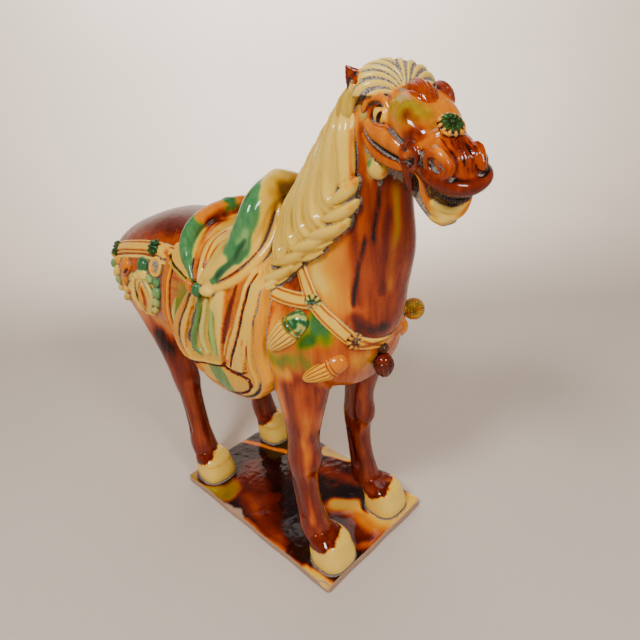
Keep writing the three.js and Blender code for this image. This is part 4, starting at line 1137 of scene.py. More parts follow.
def acorn_tree():
    """A ribbed tassel: a turned body whose radius follows a curve and swells at each rib."""
    tree, given = start_tree("RibbedTassel", [("Ribs", "Int", 14), ("Long", "Float", 34.0),
        ("Radius", "Float", 9.0), ("Rib Depth", "Float", 0.09), ("Coat", "Material", None)])
    sides = put(tree, "ShaderNodeMath", {"operation": "MULTIPLY", 1: 6.0}, {0: given["Ribs"]})
    form = put(tree, "GeometryNodeMeshCylinder", {"fill_type": "TRIANGLE_FAN", "Side Segments": 56,
        "Radius": 1.0, "Depth": 1.0}, {"Vertices": sides})
    place = put(tree, "GeometryNodeInputPosition")
    part = put(tree, "ShaderNodeSeparateXYZ", links={0: place})
    down = put(tree, "ShaderNodeMath", {"operation": "SUBTRACT", 0: 0.5}, {1: part.outputs[2]})
    shape = put(tree, "ShaderNodeFloatCurve", links={"Value": down})
    points = shape.mapping.curves[0].points
    profile = [(0, 0.0), (0.015, 0.36), (0.05, 0.6), (0.12, 0.78), (0.22, 0.9), (0.28, 0.93),
        (0.29, 0.87), (0.3, 0.98), (0.35, 1.0), (0.36, 0.92), (0.37, 1.0), (0.4, 1.0), (0.41, 0.93),
        (0.43, 0.97), (0.6, 0.9), (0.78, 0.7), (0.92, 0.44), (0.98, 0.24), (1, 0.0)]
    points[0].location, points[1].location = profile[0], profile[-1]
    for spot in profile[1:-1]:
        points.new(*spot)
    shape.mapping.update()
    angle = put(tree, "ShaderNodeMath", {"operation": "ARCTAN2"},
        {0: part.outputs[1], 1: part.outputs[0]})
    turns = put(tree, "ShaderNodeMath", {"operation": "MULTIPLY"}, {0: angle, 1: given["Ribs"]})
    wave = put(tree, "ShaderNodeMath", {"operation": "COSINE"}, {0: turns})
    # the ribs begin below the cap
    below = put(tree, "ShaderNodeMapRange", {"From Min": 0.4, "From Max": 0.44}, {"Value": down})
    depth = put(tree, "ShaderNodeMath", {"operation": "MULTIPLY"}, {0: below, 1: given["Rib Depth"]})
    swell = put(tree, "ShaderNodeMath", {"operation": "MULTIPLY_ADD", 2: 1.0}, {0: wave, 1: depth})
    reach = put(tree, "ShaderNodeMath", {"operation": "MULTIPLY"}, {0: shape, 1: swell})
    wide = put(tree, "ShaderNodeMath", {"operation": "MULTIPLY"}, {0: reach, 1: given["Radius"]})
    x, y = (put(tree, "ShaderNodeMath", {"operation": "MULTIPLY"}, {0: part.outputs[i], 1: wide})
        for i in (0, 1))
    z = put(tree, "ShaderNodeMath", {"operation": "MULTIPLY"}, {0: down, 1: given["Long"]})
    moved = put(tree, "ShaderNodeCombineXYZ", links={0: x, 1: y, 2: z})
    turned = put(tree, "GeometryNodeSetPosition", links={"Geometry": form, "Position": moved})
    end_tree(tree, [turned], given["Coat"])
    return tree


def beaded_tree():
    """A round bell covered with beads."""
    tree, given = start_tree("BeadedBell", [("Radius", "Float", 7.0), ("Bead Radius", "Float", 1.3),
        ("Coat", "Material", None)])
    core = put(tree, "GeometryNodeMeshIcoSphere", {"Subdivisions": 3}, {"Radius": given["Radius"]})
    bead = put(tree, "GeometryNodeMeshIcoSphere", {"Subdivisions": 2}, {"Radius": given["Bead Radius"]})
    beads = put(tree, "GeometryNodeInstanceOnPoints", links={"Points": core, "Instance": bead})
    round_core = put(tree, "GeometryNodeMeshUVSphere", {"Segments": 32, "Rings": 20},
        {"Radius": given["Radius"]})
    end_tree(tree, [beads, round_core], given["Coat"])
    return tree


def grown(tree, values):
    """Runs a tree on an empty mesh and returns the places and faces it makes."""
    values = {**values, "Coat": bpy.data.materials[HORSE_GLAZE]}
    seed = linked("seed", bpy.data.meshes.new("seed"))
    modifier = seed.modifiers.new("grow", "NODES")
    modifier.node_group = tree
    for item in tree.interface.items_tree:
        if item.in_out == "INPUT" and item.name in values:
            modifier[item.identifier] = values[item.name]
    bpy.context.view_layer.update()
    made = evaluated(seed)
    places = read(made.vertices, "co", 3, float)
    faces = [np.array(p.vertices) for p in made.polygons]
    seed.modifiers.remove(modifier)
    bpy.data.objects.remove(seed)
    bpy.data.meshes.remove(made)
    return places, faces


def facing(place, out, along=(0, 0, 1)):
    """A turn and a place that set a part's z axis along out and its x axis near along."""
    z = np.array(out, float) / np.linalg.norm(out)
    x = np.array(along, float) - np.dot(along, z) * z
    x = x / np.linalg.norm(x)
    return np.column_stack([x, np.cross(z, x), z]), np.array(place, float)


class Trimmings:
    """Small cast ornaments collected into one piece."""

    def __init__(self, name):
        self.name, self.places, self.faces, self.coat, self.total = name, [], [], [], 0

    def add(self, made, pose, glaze):
        """Glaze is a function of the part's own places that gives iron, copper and soil."""
        places, faces = made
        turn, place = pose
        self.places.append(places @ turn.T + place)
        self.faces += [f + self.total for f in faces]
        self.coat.append(np.array([np.broadcast_to(value, len(places))
            for value in (*glaze(places), 0.0)[:3]]))
        self.total += len(places)

    def keep(self):
        groups = {}
        for face in self.faces:
            groups.setdefault(len(face), []).append(face)
        faces = [np.array(group) for group in groups.values()]
        return mesh_piece(self.name, np.concatenate(self.places), faces, np.concatenate(self.coat, axis=1))


def flower_glaze(inner, outer, gaps, petals):
    """One glaze in the middle of a flower, another on its petals and dark between them."""
    def glaze(places):
        reach = np.hypot(places[:, 0], places[:, 1])
        share = np.clip((reach / max(reach.max(), 1e-6) - 0.4) / 0.2, 0, 1)
        turn = np.arctan2(places[:, 1], places[:, 0])
        gap = np.clip((-np.cos(turn * petals) - 0.55) / 0.3, 0, 1) * share
        mixed = [a + (b - a) * share for a, b in zip(inner, outer)]
        return [a + (b - a) * gap for a, b in zip(mixed, gaps)]
    return glaze


def tassel_glaze(cap, body, between, ribs, long):
    """One glaze on the cap, a dark ring below it, and lines between the ribs of the body."""
    def glaze(places):
        down = places[:, 2] / long
        share = np.clip((down - 0.37) / 0.02, 0, 1)
        spots = np.clip(cloudy(places, (2.6, 2.6, 3.4), 51) * 4 - 1.5, 0, 1)
        mottled = (cap[0], cap[1] * (0.3 + 1.2 * spots))
        mixed = [a + (b - a) * share for a, b in zip(mottled, body)]
        turn = np.arctan2(places[:, 1], places[:, 0])
        line = np.clip((-np.cos(turn * ribs) - 0.5) / 0.3, 0, 1) * share * np.clip((0.97 - down) / 0.1, 0, 1)
        line = np.maximum(line, np.clip(1.3 - np.abs(down - 0.36) / 0.012, 0, 1))
        line = np.maximum(line, np.clip(1.3 - np.abs(down - 0.29) / 0.01, 0, 1))
        return [a + (b - a) * line for a, b in zip(mixed, between)]
    return glaze


def mottled_glaze(places):
    """Honey and green run together in spots of 3 mm."""
    return 0.16 + 0.34 * cloudy(places, 3, 61), 0.36 * cloudy(places, 3.4, 62)


def plain_glaze(glaze):
    return lambda places: glaze


TASSELS = [  # head, tip, radius, cap, body and lines between the ribs
    ((98, -47, 267), (68, -66, 236), 11.4, (0.08, 0.6), (0.09, 0.0), (0.66, 0.0)),
    ((126, -35, 233), (96, -57, 212.5), 9.8, (0.4, 0.0), (0.22, 0.0), (0.8, 0.0))]
HOLES = (0.9, 0.3)


def build_breast_ornaments(petals, radius, ribs):
    trims = Trimmings("breast_ornaments")
    rosette, acorn, beaded = rosette_tree(), acorn_tree(), beaded_tree()
    flower = grown(rosette, {"Petals": petals, "Radius": radius, "Petal Thick": 2.4, "Boss Radius": 2.2})
    for side in (RIGHT, LEFT):
        for (z, turn), inner, outer in (((277, 66), (0.1, 0.9), (0.06, 0.13)),
                ((247, 27), (0.5, 0.2), (0.2, 0.03))):
            places, out = round_neck([[z, turn]], side, 2.2)
            trims.add(flower, facing(places[0], out[0]), flower_glaze(inner, outer, HOLES, petals))
        for head, tip, wide, cap, body, lines in TASSELS:
            head, tip = (np.array((p[0], -side * p[1], p[2]), float) for p in (head, tip))
            long = float(np.linalg.norm(tip - head))
            made = grown(acorn, {"Ribs": ribs, "Long": long, "Radius": wide, "Rib Depth": 0.05})
            trims.add(made, facing(head, tip - head, (0, side, 0)),
                tassel_glaze(cap, body, lines, ribs, long))
    # the ribbed bell at the middle of the breast, its bead and the beaded bell on the left
    middle = np.array((138.5, -7, 0))
    bell = grown(acorn, {"Ribs": 12, "Long": 21.0, "Radius": 8.6, "Rib Depth": 0.06})
    trims.add(bell, facing(middle + np.array((0, 0, 228)), (0.12, 0, -1), (1, 0, 0)),
        tassel_glaze((0.78, 0.0), (0.8, 0.0), DARK, 12, 21.0))
    bead = grown(beaded, {"Radius": 3.6, "Bead Radius": 0.9})
    trims.add(bead, facing(middle + np.array((0.5, 1, 233)), (1, 0, 0)), plain_glaze((0.66, 0.3)))
    large = grown(beaded, {"Radius": 8.4, "Bead Radius": 1.5})
    place, out = round_neck([[244, 40]], LEFT, 10.5)
    trims.add(large, facing(place[0], out[0]), mottled_glaze)
    # the green star on the noseband's flower
    head = WORK["clays"]["horse_head"]
    turn, spot = head.place[:3, :3], head.place[:3, 3]
    at, out = turn @ np.array((70.5, -1.8, 2.6)) + spot, turn @ np.array((0.3, -0.1, 0.95))
    petals_below = grown(rosette, {"Petals": 12, "Radius": 8.4, "Petal Thick": 2.2, "Boss Radius": 1.0})
    trims.add(petals_below, facing(at, out), flower_glaze(GREY, (0.2, 0.0), HOLES, 12))
    star = grown(rosette, {"Petals": 9, "Radius": 6.6, "Petal Thick": 1.6, "Petal Wide": 0.1,
        "Boss Radius": 1.8, "Disc Thick": 0.5})
    trims.add(star, facing(at + out * 1.9, out), flower_glaze((0.3, 1.0), (0.1, 0.8), (0.5, 0.3, 0.7), 9))
    return trims.keep()


def build_crupper_ornaments(petals, radius):
    trims = Trimmings("crupper_ornaments")
    flower = grown(rosette_tree(), {"Petals": petals, "Radius": radius, "Petal Thick": 3.0,
        "Boss Radius": 2.6})
    for side in (RIGHT, LEFT):
        for x, z in ((-113, 287), (-196, 273)):
            places, out = on_side([[x, z]], side, 2.4)
            trims.add(flower, facing(places[0], out[0]),
                flower_glaze((0.3, 1.0), (0.12, 0.9), (0.8, 0.6), petals))
    return trims.keep()


# Plinth

SLAB_EDGE = 1.4
CHIPS = table("-34 -75 10.5 9 4 3.5, -96 -76 10 6 3 3, 30 -75.5 10.5 5 2.5 2.5, 112 -75 10 9 5 5,"
    "121 -30 10.5 3 7 3, 121 36 9.5 3 5 3, -121 40 10 3 8 3, 60 75.5 10 7 3 3, -121 -52 10 3 5 3.5")


def build_plinth(cell):
    low, high = PLINTH_LOW * 1000, PLINTH_HIGH * 1000
    half_x, half_y, thick = (high.x - low.x) / 2, (high.y - low.y) / 2, high.z - low.z
    clay = Clay("plinth_slab", (-half_x - 3, -half_y - 3, -3), (half_x + 3, half_y + 3, thick + 3), cell)

    def slab(x, y, z):
        wave = 0.35 * np.sin(x / 17) * np.sin(y / 23 + 1)
        a = np.abs(x) - half_x + 0.9 + 0.4 * np.sin(y / 9)
        b = np.abs(y) - half_y + 0.9 + 0.4 * np.sin(x / 11 + 2)
        corner = (np.abs(x) - half_x + np.abs(y) - half_y + 3.4) * 0.707
        c = np.maximum(z - thick + 0.5 + wave, -z)
        return rounded(np.maximum(np.maximum(a, b), corner), c, SLAB_EDGE)

    clay.add(Shape(slab, clay.low, clay.low + clay.cell * clay.count))
    for x, y, z, rx, ry, rz in CHIPS:
        clay.cut(ball((x, y, z), (rx, ry, rz), (0, 8, 12)), 0.8)
    # the clay's own grid starts at the plinth's foot, below the soles
    clay.place[2, 3] = -(HORSE_LOW.z - PLINTH_LOW.z) * 1000
    clay.home = np.linalg.inv(clay.place)
    return keep(clay, 1.0)


# Glaze strokes


def strokes(text):
    """Strokes, one on a line: a glaze's name or its amounts, radius, how far it runs down, softness,
    then the places it passes. A line without a colon is a heading."""
    made = []
    for line in text.splitlines():
        if ":" in line:
            head, places = line.split(":")
            glaze, *sizes = head.split()
            amounts = NAMED_GLAZES.get(glaze) or tuple(float(part) for part in glaze.split("/"))
            made.append((amounts, *map(float, sizes), np.array(table(places))))
    return made


NAMED_GLAZES = {"cream": CREAM, "gold": GOLD, "honey": HONEY, "amber": AMBER, "orange": ORANGE,
    "red": RED, "plum": PLUM, "dark": DARK, "grey": GREY, "weathered": WEATHERED}

# Among the body strokes below, the thin dark line along the foot of the breast (0.85/0, about 205 mm up) is
# a painted shadow under the breast's overhang
BODY_STROKES = strokes("""
rump and back
weathered 60 1 0.5: -200 -20 300, -120 -10 315
weathered 60 1 0.5: -200 20 300, -120 10 315
red 20 1.4 0.9: -180 -52 287, -120 -50 293
orange 12 1.2 0.9: -110 -55 292, -96 -55 294
haunch and thigh
0.4/0 40 1.4 0.8: -200 -60 240, -160 -66 222
honey 18 1.5 0.9: -206 -58 236, -192 -64 216
0.36/0 16 2 0.8: -130 -62 215, -124 -58 196
dark 17 1.6 0.9: -134 -60 188, -126 -58 170
amber 34 2 0.8: -190 62 250, -160 66 215
neck, cream by the straps, then amber, orange and red with dark streaks
0.52/0 34 1.2 0.9: 130 -38 372, 124 -38 330, 124 -38 290
0.42/0 24 1.2 0.9: 124 -38 345, 119 -40 304, 126 -36 274
0.28/0 19 1.2 0.9: 117 -38 326, 112 -40 306, 117 -38 284
cream 15 1.1 0.9: 102 -43 320, 103 -43 304, 109 -41 290
0.7/0 7 1.4 0.9: 140 -30 372, 136 -32 340, 137 -30 306, 135 -29 282
0.74/0 10 1.4 0.9: 162 2 366, 161 3 320, 154 4 280
0.5/0.16 6 1.6 0.9: 160 -13 368, 158.8 -12.3 340, 157 -14 322, 151 -13 292
0.38/0.22 3.4 2 0.9: 160 -13 362, 159 -12.5 344, 157.5 -13.5 326
0.82/0 4 2 0.9: 156 -17 350, 153 -18 320, 148 -18 288
0.78/0 3.4 2 1: 152 -21.9 362, 150.5 -23.3 345.5, 148.8 -24.5 330
0.96/0 1.9 3 1: 152 -21.9 361, 151.4 -22.8 352, 150.2 -23.3 344, 148.8 -24.5 331
0.8/0 3.8 2 1: 143.2 -28.1 330, 137.4 -29.9 306, 131.6 -30.5 280
0.96/0 2 2 1: 143.2 -28.1 329, 140.4 -29.2 319, 137.6 -29.9 306, 134.4 -30.1 294, 131.6 -30.5 279
0.86/0 8 1.2 0.9: 130 -28 268, 137 -21 257, 146 -10 255
0.3/0 6 1 0.8: 140 -30 414, 140 -31 396, 141 -31 374
0.12/0.2/0.5 5 1 0.9: 143 -25 416, 145 -24 402, 146 -24 388, 148 -23 374
shoulder and breast
0.22/0 30 1.4 0.8: 64 -62 252, 60 -62 228
cream 10 1.5 0.9: 58 -62 226, 57 -62 208
0.54/0 4.4 2.4 0.9: 67 -56 268, 64 -60 254, 61 -63 242, 58 -63 232
0.1/0.7 11 1.2 0.7: 105 -46 262, 114 -41 251
0.14/0.85 9 1 0.8: 103 -51 250, 96 -52 244
0.34/0.36 13 1.4 0.8: 100 -53 232, 86 -58 230, 73 -62 224
0.34/0.14 6 2 0.9: 76 -62 218, 75 -62 208
0.58/0.04 9 1.3 0.8: 112 -46 240, 106 -50 233
0.3/0.04 8 1.6 0.8: 66 -62 214, 84 -62 214
0.72/0.06 4 2.4 0.9: 95 -56 222, 93 -57 206
0.36/0.1 14 1.3 0.8: 128 -27 228, 134 -14 224
0.68/0.05 9 1.6 0.9: 110 -46 228, 100 -52 216
0.44/0 8 1.3 0.8: 104 -46 212
0.5/0 24 1.3 0.8: 120 30 240, 100 50 235
0.3/0.24 14 1.4 0.8: 98 50 244
honey 20 1.4 0.8: 60 62 235
0.85/0 1.8 1 0.9: 54 -58 196, 72 -62 202, 86 -62 206, 98 -55 206.5, 104 -46 205, 107 -37 204
legs, amber down the shin, dark at the back and at the edges
amber 12 2 0.8: 66 -64 200, 68 -62 176
0.5/0 9 2 0.8: 96 -46 194, 94 -46 168
0.86/0 6 3 0.9: 84 -36 178, 82 -36 130, 80 -37 60
0.16/0.16 5 2 0.8: 61 -61 198, 63 -59 176
0.56/0 17 1.6 0.9: 92 -54 196, 90 -54 172
0.48/0 6 3 0.9: 95 -54 192, 92 -55 172, 89 -55.5 150, 87.5 -55.5 125
0.88/0 3 2.4 0.9: 86 -60 204, 85 -60 184, 84 -59.5 166
dark 4 2 0.9: 64 -56 130, 62 -55 70
0.5/0 4.6 3 0.9: 87 -55 118, 85 -54.5 98, 84.5 -54 72, 85.5 -54.5 48
0.8/0 9 2 0.9: 62 -52 140, 60 -52 80
0.84/0 9 2 0.8: -132 -58 150, -130 -56 120
0.64/0 7 4 0.9: -106 -56 128, -104 -56 60
dark 7 3 0.9: -128 -50 110, -124 -50 60
0.8/0 13 2 0.9: 58 38 170, 58 40 90
0.58/0 5 3 0.9: 80 32 176, 76 34 120, 76 34 70
dark 8 3 0.9: 57 34 196, 55 36 150, 53 37 70
""")
# Among the saddle strokes below, the grey-brown on the pommel's front face (0.3/0.14 and 0.56/0.3) is
# painted shade, and the dark red-brown on the cantle's inner face (0.84/0) is a painted shadow
SADDLE_STROKES = strokes("""
0.05/0.6 9.5 1 0.3: 20 -23 358, 30 -33 350, 34 -40 338, 34 -46 326, 31 -52 314, 27 -57 305
0.05/0.6 8 1 0.3: 18 -34 352, 24 -45 338, 24 -52 322, 21 -57 308
0.05/0.62 4.2 1 0.4: 27 -58 304, 17 -65 292, 6 -69 282
0.04/0.34 6 1 0.9: 34 -47 324, 32 -52 314
0.4/0.85 6 1 0.9: 20 -30 357, 23 -37 350
0.1/0.98 3.4 1 0.9: 10 -68 285, 20 -63 296, 27 -58 304, 35 -50 318
0.3/0.14 13 1 0.9: 36 -12 352, 38 -8 342
0.56/0.3 11 1 0.9: 38 -6 349, 38 -2 340
0.4/0 12 1 0.3: -54 -29 323, -54 -12 328
0.84/0 9 1 0.9: -48 -26 316, -47 -10 318
0.08/0.7 7 1 0.4: -52 -2 331
0.06/0.34 6 1 0.9: -62 -56 312, -58 -62 304
""")
MANE_STROKES = strokes("""
0.44/0 3.6 1 0.7: 140 -33 402, 141 -34 390, 142 -35 378, 142 -35 370
honey 5 1 0.9: 141 -40 369
honey 5 1 0.9: 142 -40 355
honey 4.4 1 0.9: 136 -42 341
gold 5 1 0.8: 66 -60 290, 74 -58 288
0.06/0.03 30 1.5 0.9: 100 -50 380
""")
# In the head's own frame
HEAD_STROKES = strokes("""
0.42/0.02 15 1 0.8: 44 0 0, 56 0 0, 66 0 0
0.76/0.02 8 1 0.9: 61 -15 -6, 58 -19 -10
0.5/0 5 1 0.9: 65 -11 -4
amber 6 1 0.8: 27 -15 -4, 32 -18 -6, 35 -20.5 -11
0.45/0.12/0.85 2.4 1 0.6: 24 -8 0, 30 -8 1, 37 -6.5 1.6, 44 -3.6 1, 47 -2 0.6
0.1/0.5 4.6 1 0.7: 31 -25.5 -43
0.36/0 4 1 0.7: 42 -17.5 -45.5
0.7/0 13 1 0.8: 78 -1 -2, 88 -1 -4, 92 -1 -8
0.82/0 6 1 0.8: 84 0 -3
grey 2.2 1 0.7: 74 -12 -7, 79 -15 -5, 83 -16.5 -3.6
0.3/0/0.6 3 1 0.8: 14 -26 -26, 20 -26 -32, 24 -25 -38
cream 6 1 0.5: 87 -8 -42, 91 -4 -45, 93 0 -45, 92 7 -43, 89 12 -39, 84 15 -32
0.08/0.04 6 1 0.6: 84 -8 -47, 88 0 -49
0.9/0 2.6 1 0.6: 90 -3 -50
""")
# The olive pool before the right eye
BROW_STROKES = strokes("""
0.42/0.2 15 1 0.9: 41 -13 0, 49 -13 0, 54 -8 0
0.32/0.27 11 1 0.9: 38 -14 0, 47 -15 -1, 51 -10 0
0.26/0.24 6 1 0.9: 37 -15 -1, 42 -18 -4
0.62/0.2 7 1 1: 50 -15 -3, 54 -14 -4
""")
PLINTH_STROKES = strokes("""
0.4/0.26 22 1 0.4: -118 -72 0, -88 -66 0, -62 -58 0
0.9/0.2 13 1 0.9: -76 -50 0
0.3/0.24 6 1 0.9: -104 -74 0, -72 -68 0
0.26/0.2 6 1 0.8: -118 -76 0, -96 -76 0
amber 4 1 0.6: -123 10 0, -95 20 0, -56 35 0
0.8/0 30 1 1: -70 -10 0, -30 -36 0, 10 -50 0
0.72/0 13 1 1: -34 -50 0, 10 -62 0, 44 -68 0
0.5/0 6 1 0.9: -8 -74 0, 20 -75 0, 52 -76 0
amber 5 1 0.8: 30 -80 0, 56 -80 0, 78 -76 0
gold 12 1 0.6: 90 -76 0, 106 -76 0, 120 -76 0
0.96/0 22 1 0.9: -30 -4 0, 20 -24 0, 50 -44 0, 76 -58 0
0.96/0 12 1 0.8: 28 11 0, 50 22 0, 70 30 0
0.74/0 12 1 0.9: -10 34 0, 26 42 0, 50 48 0
0.1/0 12 1 0.3: -16 68 0, 4 73 0, 16 76 0
amber 19 1 0.7: 58 4 0, 76 12 0, 98 12 0, 116 18 0
gold 13 1 0.7: 57 8 0, 70 20 0, 88 25 0, 104 22 0, 117 30 0
plum 17 1 1: 56 -14 0, 78 -6 0, 98 -10 0
0.6/0 8 1 0.9: 110 -18 0, 117 -6 0, 117 8 0
gold 14 1 0.6: 118 44 0, 118 60 0, 112 78 0
""")
PLINTH_WORN = strokes("""
1 7.5 1 0.4: -84 -82 0, -50 -79 0, -13 -77 0, 20 -80 0, 44 -84 0
1 7 1 0.4: -34 -75 0, -22 -74 0
0.6 10 1 0.8: -16 72 0, 8 77 0
""")
HOOF_SPOTS = table("99.5 -45, 95 43, -94.5 -48, -94.5 48")


def on_right(places):
    """Places with those of the left side mirrored to the right."""
    one = np.ones(len(places))
    return places * np.column_stack([one, -np.sign(places[:, 1]), one])


def brushed(coat, places, strokes, wobble):
    """Lays strokes over the coat: each one's edge wanders and its foot runs down."""
    for glaze, radius, run, soft, line in strokes:
        low, high = line.min(0) - radius * 1.6, line.max(0) + radius * 1.6
        low[2] -= radius * run
        near = np.nonzero(((places > low) & (places < high)).all(1))[0]
        if not len(near):
            continue
        here = places[near] + wobble[near] * min(radius * 0.35, 5)
        best = np.full(len(near), 1e3)
        for a, b in zip(line, line[1:] if len(line) > 1 else line):
            go = b - a
            t = np.clip((here - a) @ go / max(go @ go, 1e-9), 0, 1)
            away = here - a - t[:, None] * go
            away[:, 2] = np.where(away[:, 2] < 0, away[:, 2] / run, away[:, 2])
            best = np.minimum(best, np.linalg.norm(away, axis=1))
        share = np.clip((1 - best / radius) / soft, 0, 1)
        share = share * share * (3 - 2 * share)
        for field, amount in zip(coat, glaze):
            field[near] += (amount - field[near]) * share


SOIL_SHARES = {"breast_ornaments": 0.35, "crupper_ornaments": 0.4, "crupper_straps": 0.55, "mane": 0.8,
    "saddle_and_blankets": 0.7}


def coat_pieces(soil_reach, soil_amount):
    """The last coat: strokes of colour, pools in the hollows, and the soil left in the deep ones."""
    clays = list(WORK["clays"].values())
    head = WORK["clays"]["horse_head"]
    for name, piece in WORK["pieces"].items():
        places, coat = piece["places"], piece["coat"].astype(np.float32)
        mesh = piece["object"].data
        normal = read(mesh.vertices, "normal", 3)
        wobble = np.column_stack([cloudy(places, (7, 7, 16), s) for s in (1, 2, 3)]) * 2 - 1
        depths = []
        for reach in (1.2, soil_reach):
            out = places + normal * reach
            nearest = np.full(len(places), reach, np.float32)
            for clay in clays:
                nearest = np.minimum(nearest, clay.value(out))
            depths.append(np.clip(1 - nearest / reach, 0, 1))
        crevice = np.clip(depths[1] * 1.5 - 0.45, 0, 1) * 0.7 + np.clip(depths[0] * 1.6 - 0.4, 0, 1) * 0.6
        crevice *= SOIL_SHARES.get(name, 1.0)
        bare = np.zeros(len(places), np.float32)
        right = on_right(places)
        if name == "horse_body":
            brushed(coat, places, BODY_STROKES, wobble)
            crevice *= 1 - hoof_glaze(places, coat) * 0.5
        elif name == "saddle_and_blankets":
            brushed(coat, right, SADDLE_STROKES, wobble)
        elif name == "mane":
            brushed(coat, places, MANE_STROKES, wobble)
        elif name == "horse_head":
            face_glaze((places - head.place[:3, 3]) @ head.place[:3, :3], coat, wobble)
        elif name == "plinth_slab":
            bare = plinth_glaze(places, normal, coat)
            crevice *= 1 - bare
        iron, copper, soil = coat
        pool = np.clip(depths[1] - 0.15, 0, 1)
        # on the mane the hollows darken to olive: pooled glaze and painted shade in the grooves between the
        # locks
        if name == "mane":
            iron = iron + 0.2 * pool
            copper = copper + 0.18 * pool
        iron = iron + (0.42 if name == "horse_head" else 0.24) * pool * np.clip(iron * 2.5, 0, 1)
        copper = copper + 0.3 * pool * np.clip(copper * 2, 0, 1)
        soil = np.maximum(soil, crevice * soil_amount)
        for label, value in (("iron", iron), ("copper", copper), ("soil", soil), ("bare", bare)):
            layer = mesh.attributes.new(label, "FLOAT", "POINT")
            layer.data.foreach_set("value", np.clip(value, 0, 1).astype(np.float32))


def hoof_glaze(places, coat):
    """Cream hooves with a jagged brown edge above them."""
    jag = 3 * cloudy(places, (3, 3, 40), 8) + 5 * cloudy(places, (10, 10, 60), 9)
    for x, y in HOOF_SPOTS:
        # the cream runs up the front of each hoof and stays low behind
        ahead = (places[:, 0] - x) * 0.7 + (places[:, 1] - y) * 0.7
        near = np.hypot(places[:, 0] - x, places[:, 1] - y) < 30
        jag += near * np.clip(0.5 * ahead + (5 if x < 0 else 2), -6, 12)
    hoof = np.clip((21.5 + jag - places[:, 2]) / 1.2, 0, 1)
    edge = np.clip((27 + jag - places[:, 2]) / 5, 0, 1)
    coat[0] += (0.88 - coat[0]) * edge * 0.7
    coat[0] += (0.05 - coat[0]) * hoof
    coat[1] *= 1 - hoof
    coat[2] = np.maximum(coat[2], 0.12 * hoof)
    ring = np.clip(1 - np.abs(places[:, 2] - 21) / 0.9, 0, 1) * (places[:, 0] < -60)
    coat[0] += 0.3 * ring * hoof
    return hoof


def face_glaze(local, coat, wobble):
    """Strokes on the face, soil between the strands of the crown, hair lines and the pupils."""
    right = on_right(local)
    fresh = ((coat[0] > 0.36) & (coat[0] < 0.56)) | (right[:, 2] < -38) | (local[:, 0] > 74)
    painted = coat.copy()
    brushed(painted, right, HEAD_STROKES, wobble * 0.6)
    brushed(painted, local, BROW_STROKES, wobble)
    coat[:] = np.where(fresh, painted, coat)
    a, side, n = right[:, 0], -right[:, 1], right[:, 2]
    crown = (a < 24) & (n > -20) & (coat[0] < 0.08)
    groove = np.clip((strand(local[:, 0], local[:, 1]) - 0.52) / 0.08, 0, 1) * crown * (coat[2] < 0.5)
    coat[2] = np.maximum(coat[2], 0.85 * groove)
    hairs = np.clip(cloudy(local, (5, 0.7, 3), 23) * 3 - 1.6, 0, 1)
    nose = (a > 74) & (a < 95) & (side < 10) & (n > -12)
    coat[0] += 0.26 * hairs * nose
    # the pupil's edge in mm from its middle
    pupil = np.clip((1.05 - np.hypot((a - 31) / 1.9, (n + 12.5) / 4.7)) / 0.2, 0, 1)
    pupil *= (side > 20) & (coat[0] < 0.2)
    coat[0] += (1.0 - coat[0]) * pupil


def plinth_glaze(places, normal, coat):
    """Colour on the plinth: near black in the middle, amber and cream where it ran thin."""
    flat = places * np.array((1, 1, 0))
    wander = np.column_stack([cloudy(flat, 26, 31), cloudy(flat, 26, 32), 0.5 + 0 * flat[:, 0]]) * 2 - 1
    fine = np.column_stack([cloudy(flat, 8, 33), cloudy(flat, 8, 34), 0.5 + 0 * flat[:, 0]]) * 2 - 1
    spot = flat + 3.5 * wander + 0.8 * fine
    coat[0] = 0.9 + 0.02 * fine[:, 0] + 0.06 * wander[:, 1]
    coat[1:] = 0
    brushed(coat, spot, PLINTH_STROKES, 0 * spot)
    # a darker ring round each hoof, kept behind the fore hooves: a painted contact shadow
    for number, (x, y) in enumerate(HOOF_SPOTS):
        ring = np.hypot((spot[:, 0] - x) / 20, (spot[:, 1] - y) / 20.5)
        behind = np.clip((x - 4 - spot[:, 0]) / 8, 0, 1) if number < 2 else 1.0
        hoof_ring_shade = np.clip(((1.42 if number < 2 else 1.22) - ring) / 0.16, 0, 1) * behind
        coat[0] += (0.97 - coat[0]) * hoof_ring_shade
        coat[1] *= 1 - hoof_ring_shade
    worn = np.zeros((1, len(places)), np.float32)
    brushed(worn, flat + 2.4 * fine, PLINTH_WORN, 0 * spot)
    top = np.clip((normal[:, 2] - 0.55) / 0.2, 0, 1)
    edge = np.clip(cloudy(places, 5, 41) * 1.6 - 0.3, 0, 1)
    return np.maximum(1 - np.clip(top * 1.5 - 0.3 * edge, 0, 1), worn[0])


# Materials


def start_material(name):
    material = bpy.data.materials.new(name)
    material.use_nodes = True
    tree = material.node_tree
    tree.nodes.clear()
    shader = put(tree, "ShaderNodeBsdfPrincipled")
    put(tree, "ShaderNodeOutputMaterial", links={"Surface": shader})
    return material, tree, shader


def ramp(tree, fac, stops):
    node = put(tree, "ShaderNodeValToRGB", links={"Fac": fac})
    marks = node.color_ramp.elements
    marks[0].position, marks[1].position = stops[0][0], stops[-1][0]
    for at, _ in stops[1:-1]:
        marks.new(at)
    for mark, (_, colour) in zip(marks, stops):
        mark.color = (*colour, 1)
    return node.outputs["Color"]


